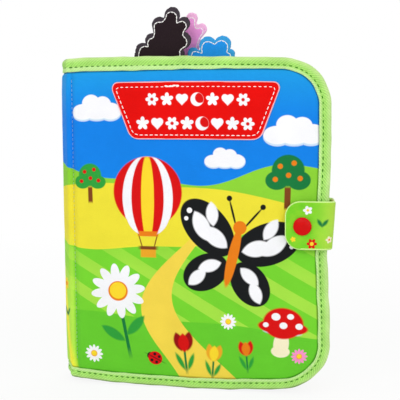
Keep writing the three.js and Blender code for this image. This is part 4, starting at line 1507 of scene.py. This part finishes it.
def make_strap(side, materials):
    """Half of the strap: the tab half with the snap, or the tail half that is sewn to the back."""
    place, over_corner, reach = strap_place(side)
    low, high = STRAP_Z - STRAP_HEIGHT / 2, STRAP_Z + STRAP_HEIGHT / 2
    outline = (reach, low, high, STRAP_RADIUS[side])
    snap_s = reach - (SNAP_S - STRAP_X + STRAP_REACH[FRONT])

    def inner(s, z):
        inward = np.minimum(edge_distance(s, z, *outline), STRAP_ROUND)
        round_edge = np.sqrt(np.clip(1 - (1 - inward / STRAP_ROUND) ** 2, 0.03, 1))
        uneven = 0.08 * ripples(s, z, 80 + side, 21) * smooth(inward, 0.2, 1)
        return STRAP_HALF * round_edge + uneven

    def dipped(s, z):
        from_snap = np.hypot(s - snap_s, z - SNAP_Z)
        return inner(s, z) - SNAP_DIP * hump(from_snap, SNAP_DIP_RADIUS, SNAP_DIP_WIDE)

    s_lines = lines(0, 1.2, over_corner - 14, 0.7, over_corner + 3, 0.9, reach - 1.6, 0.4, reach)
    z_lines = lines(low, 0.4, low + 1.6, 0.9, high - 1.6, 0.4, high)
    name = "strap_tab_half" if side == FRONT else "strap_tail_half"
    cloth, cut_edge = materials["strap_cloth"], materials["strap_cut_edge"]
    strap = panel(name, s_lines, z_lines, outline, dipped if side == FRONT else inner, inner, place,
                  [cloth, cloth, cut_edge], top_uv=None if side == FRONT else flipped(0))
    edge_faces(strap, outline, 1.0, 2)
    if side == FRONT:
        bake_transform(strap)
        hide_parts("strap_tab_print", "strap_tab_lining")
    else:
        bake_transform(strap)
        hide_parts("strap_tail", "strap_wrap")


def edge_faces(piece, outline, band, index):
    """Gives the faces within a band of the outline the cut-edge material."""
    mesh = piece.data
    uv = np.zeros(len(mesh.loops) * 2, np.float32)
    mesh.uv_layers["cloth"].data.foreach_get("uv", uv)
    uv = uv.reshape(-1, 2)
    for face in mesh.polygons:
        middle = uv[list(face.loop_indices)].mean(0)
        if edge_distance(abs(middle[0]), middle[1], *outline) < band:
            face.material_index = index


# The snap's pieces: profile as radius and height, the height over the cover where it starts,
# material, body, slot and the solid it stands for.
SNAP_PIECES = {
    "snap_cap_moulding": (
        ((0.25, 2.0), (1.2, 1.97), (2.4, 1.86), (3.5, 1.68), (4.4, 1.45), (5.2, 1.16), (5.9, 0.82),
         (6.35, 0.5), (6.55, 0.28), (6.5, 0.12), (6.2, 0.05), (5.3, -0.1), (5.2, -0.6),
         (0.25, -0.6)),
        9.87, "red_snap_plastic", "strap_tab", "red_plastic", "snap_cap"),
    "snap_socket_moulding": (
        ((1.7, 1.9), (1.7, 0.8), (2.1, 0.4), (2.7, 0.3), (5.0, 0.25), (5.4, 0.5), (5.5, 1.0),
         (5.5, 2.0), (5.2, 2.5), (3.0, 2.6), (2.6, 2.2), (2.3, 1.9)),
        5.75, "clear_snap_plastic", "strap_tab", "clear_plastic", "snap_socket"),
    "snap_stud_moulding": (
        ((0.2, 1.5), (1.2, 1.5), (1.55, 1.2), (1.5, 0.8), (1.9, 0.55), (4.9, 0.45), (5.4, 0.2),
         (5.5, -0.2), (0.2, -0.5)),
        3.95, "clear_snap_plastic", "front_cover", "clear_plastic", "snap_stud"),
}
SNAP_SIDES = 64


def lathe(name, profile, height_zero, material, body, slot, *nodes):
    """A round moulded part on the snap's axis."""
    turns = np.arange(SNAP_SIDES) / SNAP_SIDES * math.tau
    radius, height = np.array(profile).T[:, :, None]
    x = FOLD_X + SNAP_S + np.cos(turns) * radius
    y = BOOK_MIDDLE_Y - HALF_PITCH - height_zero - height + 0 * x
    z = SNAP_Z + np.sin(turns) * radius
    points = np.stack([x, y, z], -1).reshape(-1, 3)
    number = np.arange(len(points)).reshape(-1, SNAP_SIDES)
    faces = [*grid_faces(number, True), number[0], number[-1]]
    made = make_piece(name, points * MM, faces, points[:, ::2], [material], sharp=50)
    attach(made, body)
    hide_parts(*nodes)


def make_snap(materials):
    """The red cap, the socket under the tab and the stud on the cover."""
    for name, (profile, height_zero, material, *declared) in SNAP_PIECES.items():
        lathe(name, profile, height_zero, materials[material], *declared)
    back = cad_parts["stud_cap"].data
    back.materials.clear()
    back.materials.append(materials["clear_snap_plastic"])


FLOOR_Z = -0.0016
FLOOR_SIZE = 12
PAPER_GREY = (0.9, 0.9, 0.9, 1)
PAPER_WHITE_SHARE = 0.89
PAPER_WHITE_REACH = (0.2, 0.8)
WORLD_LIGHT = 0.6

# Name, place, what it points at, size and watts
LAMPS = (
    ("soft_key", (-0.36, -1.08, 0.95), (0, 0, 0.12), 0.9, 5.6),
    ("soft_fill", (0.75, -1.0, 0.55), (0, 0, 0.14), 1.0, 3.6),
    ("soft_back", (0.2, 1.1, 0.9), (0, 0, 0.14), 1.0, 4.0),
)


def seen_white(b):
    """1 for what the camera sees, also in a shine or through clear plastic, and 0 for light."""
    sight = b.node("ShaderNodeLightPath").outputs
    seen = b.calc("MAXIMUM", sight["Is Camera Ray"], sight["Is Glossy Ray"])
    return b.calc("MAXIMUM", seen, sight["Is Transmission Ray"])


def make_floor():
    """A plain pale floor that reads as white paper and keeps the book's shadow."""
    bpy.ops.mesh.primitive_plane_add(size=FLOOR_SIZE, location=(0, 0, FLOOR_Z))
    floor = bpy.context.object
    floor.name = "paper_floor"
    material = new_material("white_paper")
    b = Bench(material.node_tree)
    matt = b.node("ShaderNodeBsdfDiffuse", {"Color": PAPER_GREY}).outputs[0]
    glow = b.node("ShaderNodeEmission", {"Strength": 1.0}).outputs[0]
    spot = b.node("ShaderNodeTexCoord").outputs["Object"]
    white = b.span(b.vector("LENGTH", spot), *PAPER_WHITE_REACH, PAPER_WHITE_SHARE, 1.0)
    share = b.times(seen_white(b), white)
    both = b.node("ShaderNodeMixShader", {0: share, 1: matt, 2: glow}).outputs[0]
    b.node("ShaderNodeOutputMaterial", {"Surface": both})
    floor.data.materials.append(material)


def make_world():
    """White where it is seen, and a dimmer even light on the book."""
    world = bpy.data.worlds.new("studio_white")
    bpy.context.scene.world = world
    world.use_nodes = True
    world.node_tree.nodes.clear()
    b = Bench(world.node_tree)
    strength = b.span(seen_white(b), 0, 1, WORLD_LIGHT, 1.0)
    glow = b.node("ShaderNodeBackground", {"Color": (1, 1, 1, 1), "Strength": strength}).outputs[0]
    b.node("ShaderNodeOutputWorld", {"Surface": glow})


def make_lamp(name, place, target, size, watts):
    """A square soft lamp that points at the target."""
    data = bpy.data.lights.new(name, "AREA")
    data.size = size
    data.energy = watts
    lamp = add_object(name, data)
    lamp.location = place
    lamp.rotation_euler = (Vector(place) - Vector(target)).to_track_quat("Z", "Y").to_euler()


def main():
    """Builds the camera, the book and its stage."""
    make_camera()
    materials = make_materials()
    for side in (FRONT, BACK):
        make_quilt(side, materials)
        make_cover_tape(side, materials)
        make_fold_stitches(side, materials)
        make_strap(side, materials)
    make_patch(materials)
    for number in range(len(LEAF_Y)):
        make_leaf(number, materials)
    for colour in FELT_SHAPES:
        make_felt(colour, materials)
    make_snap(materials)
    make_floor()
    make_world()
    for lamp in LAMPS:
        make_lamp(*lamp)
    bpy.context.scene.view_settings.view_transform = "Standard"


main()
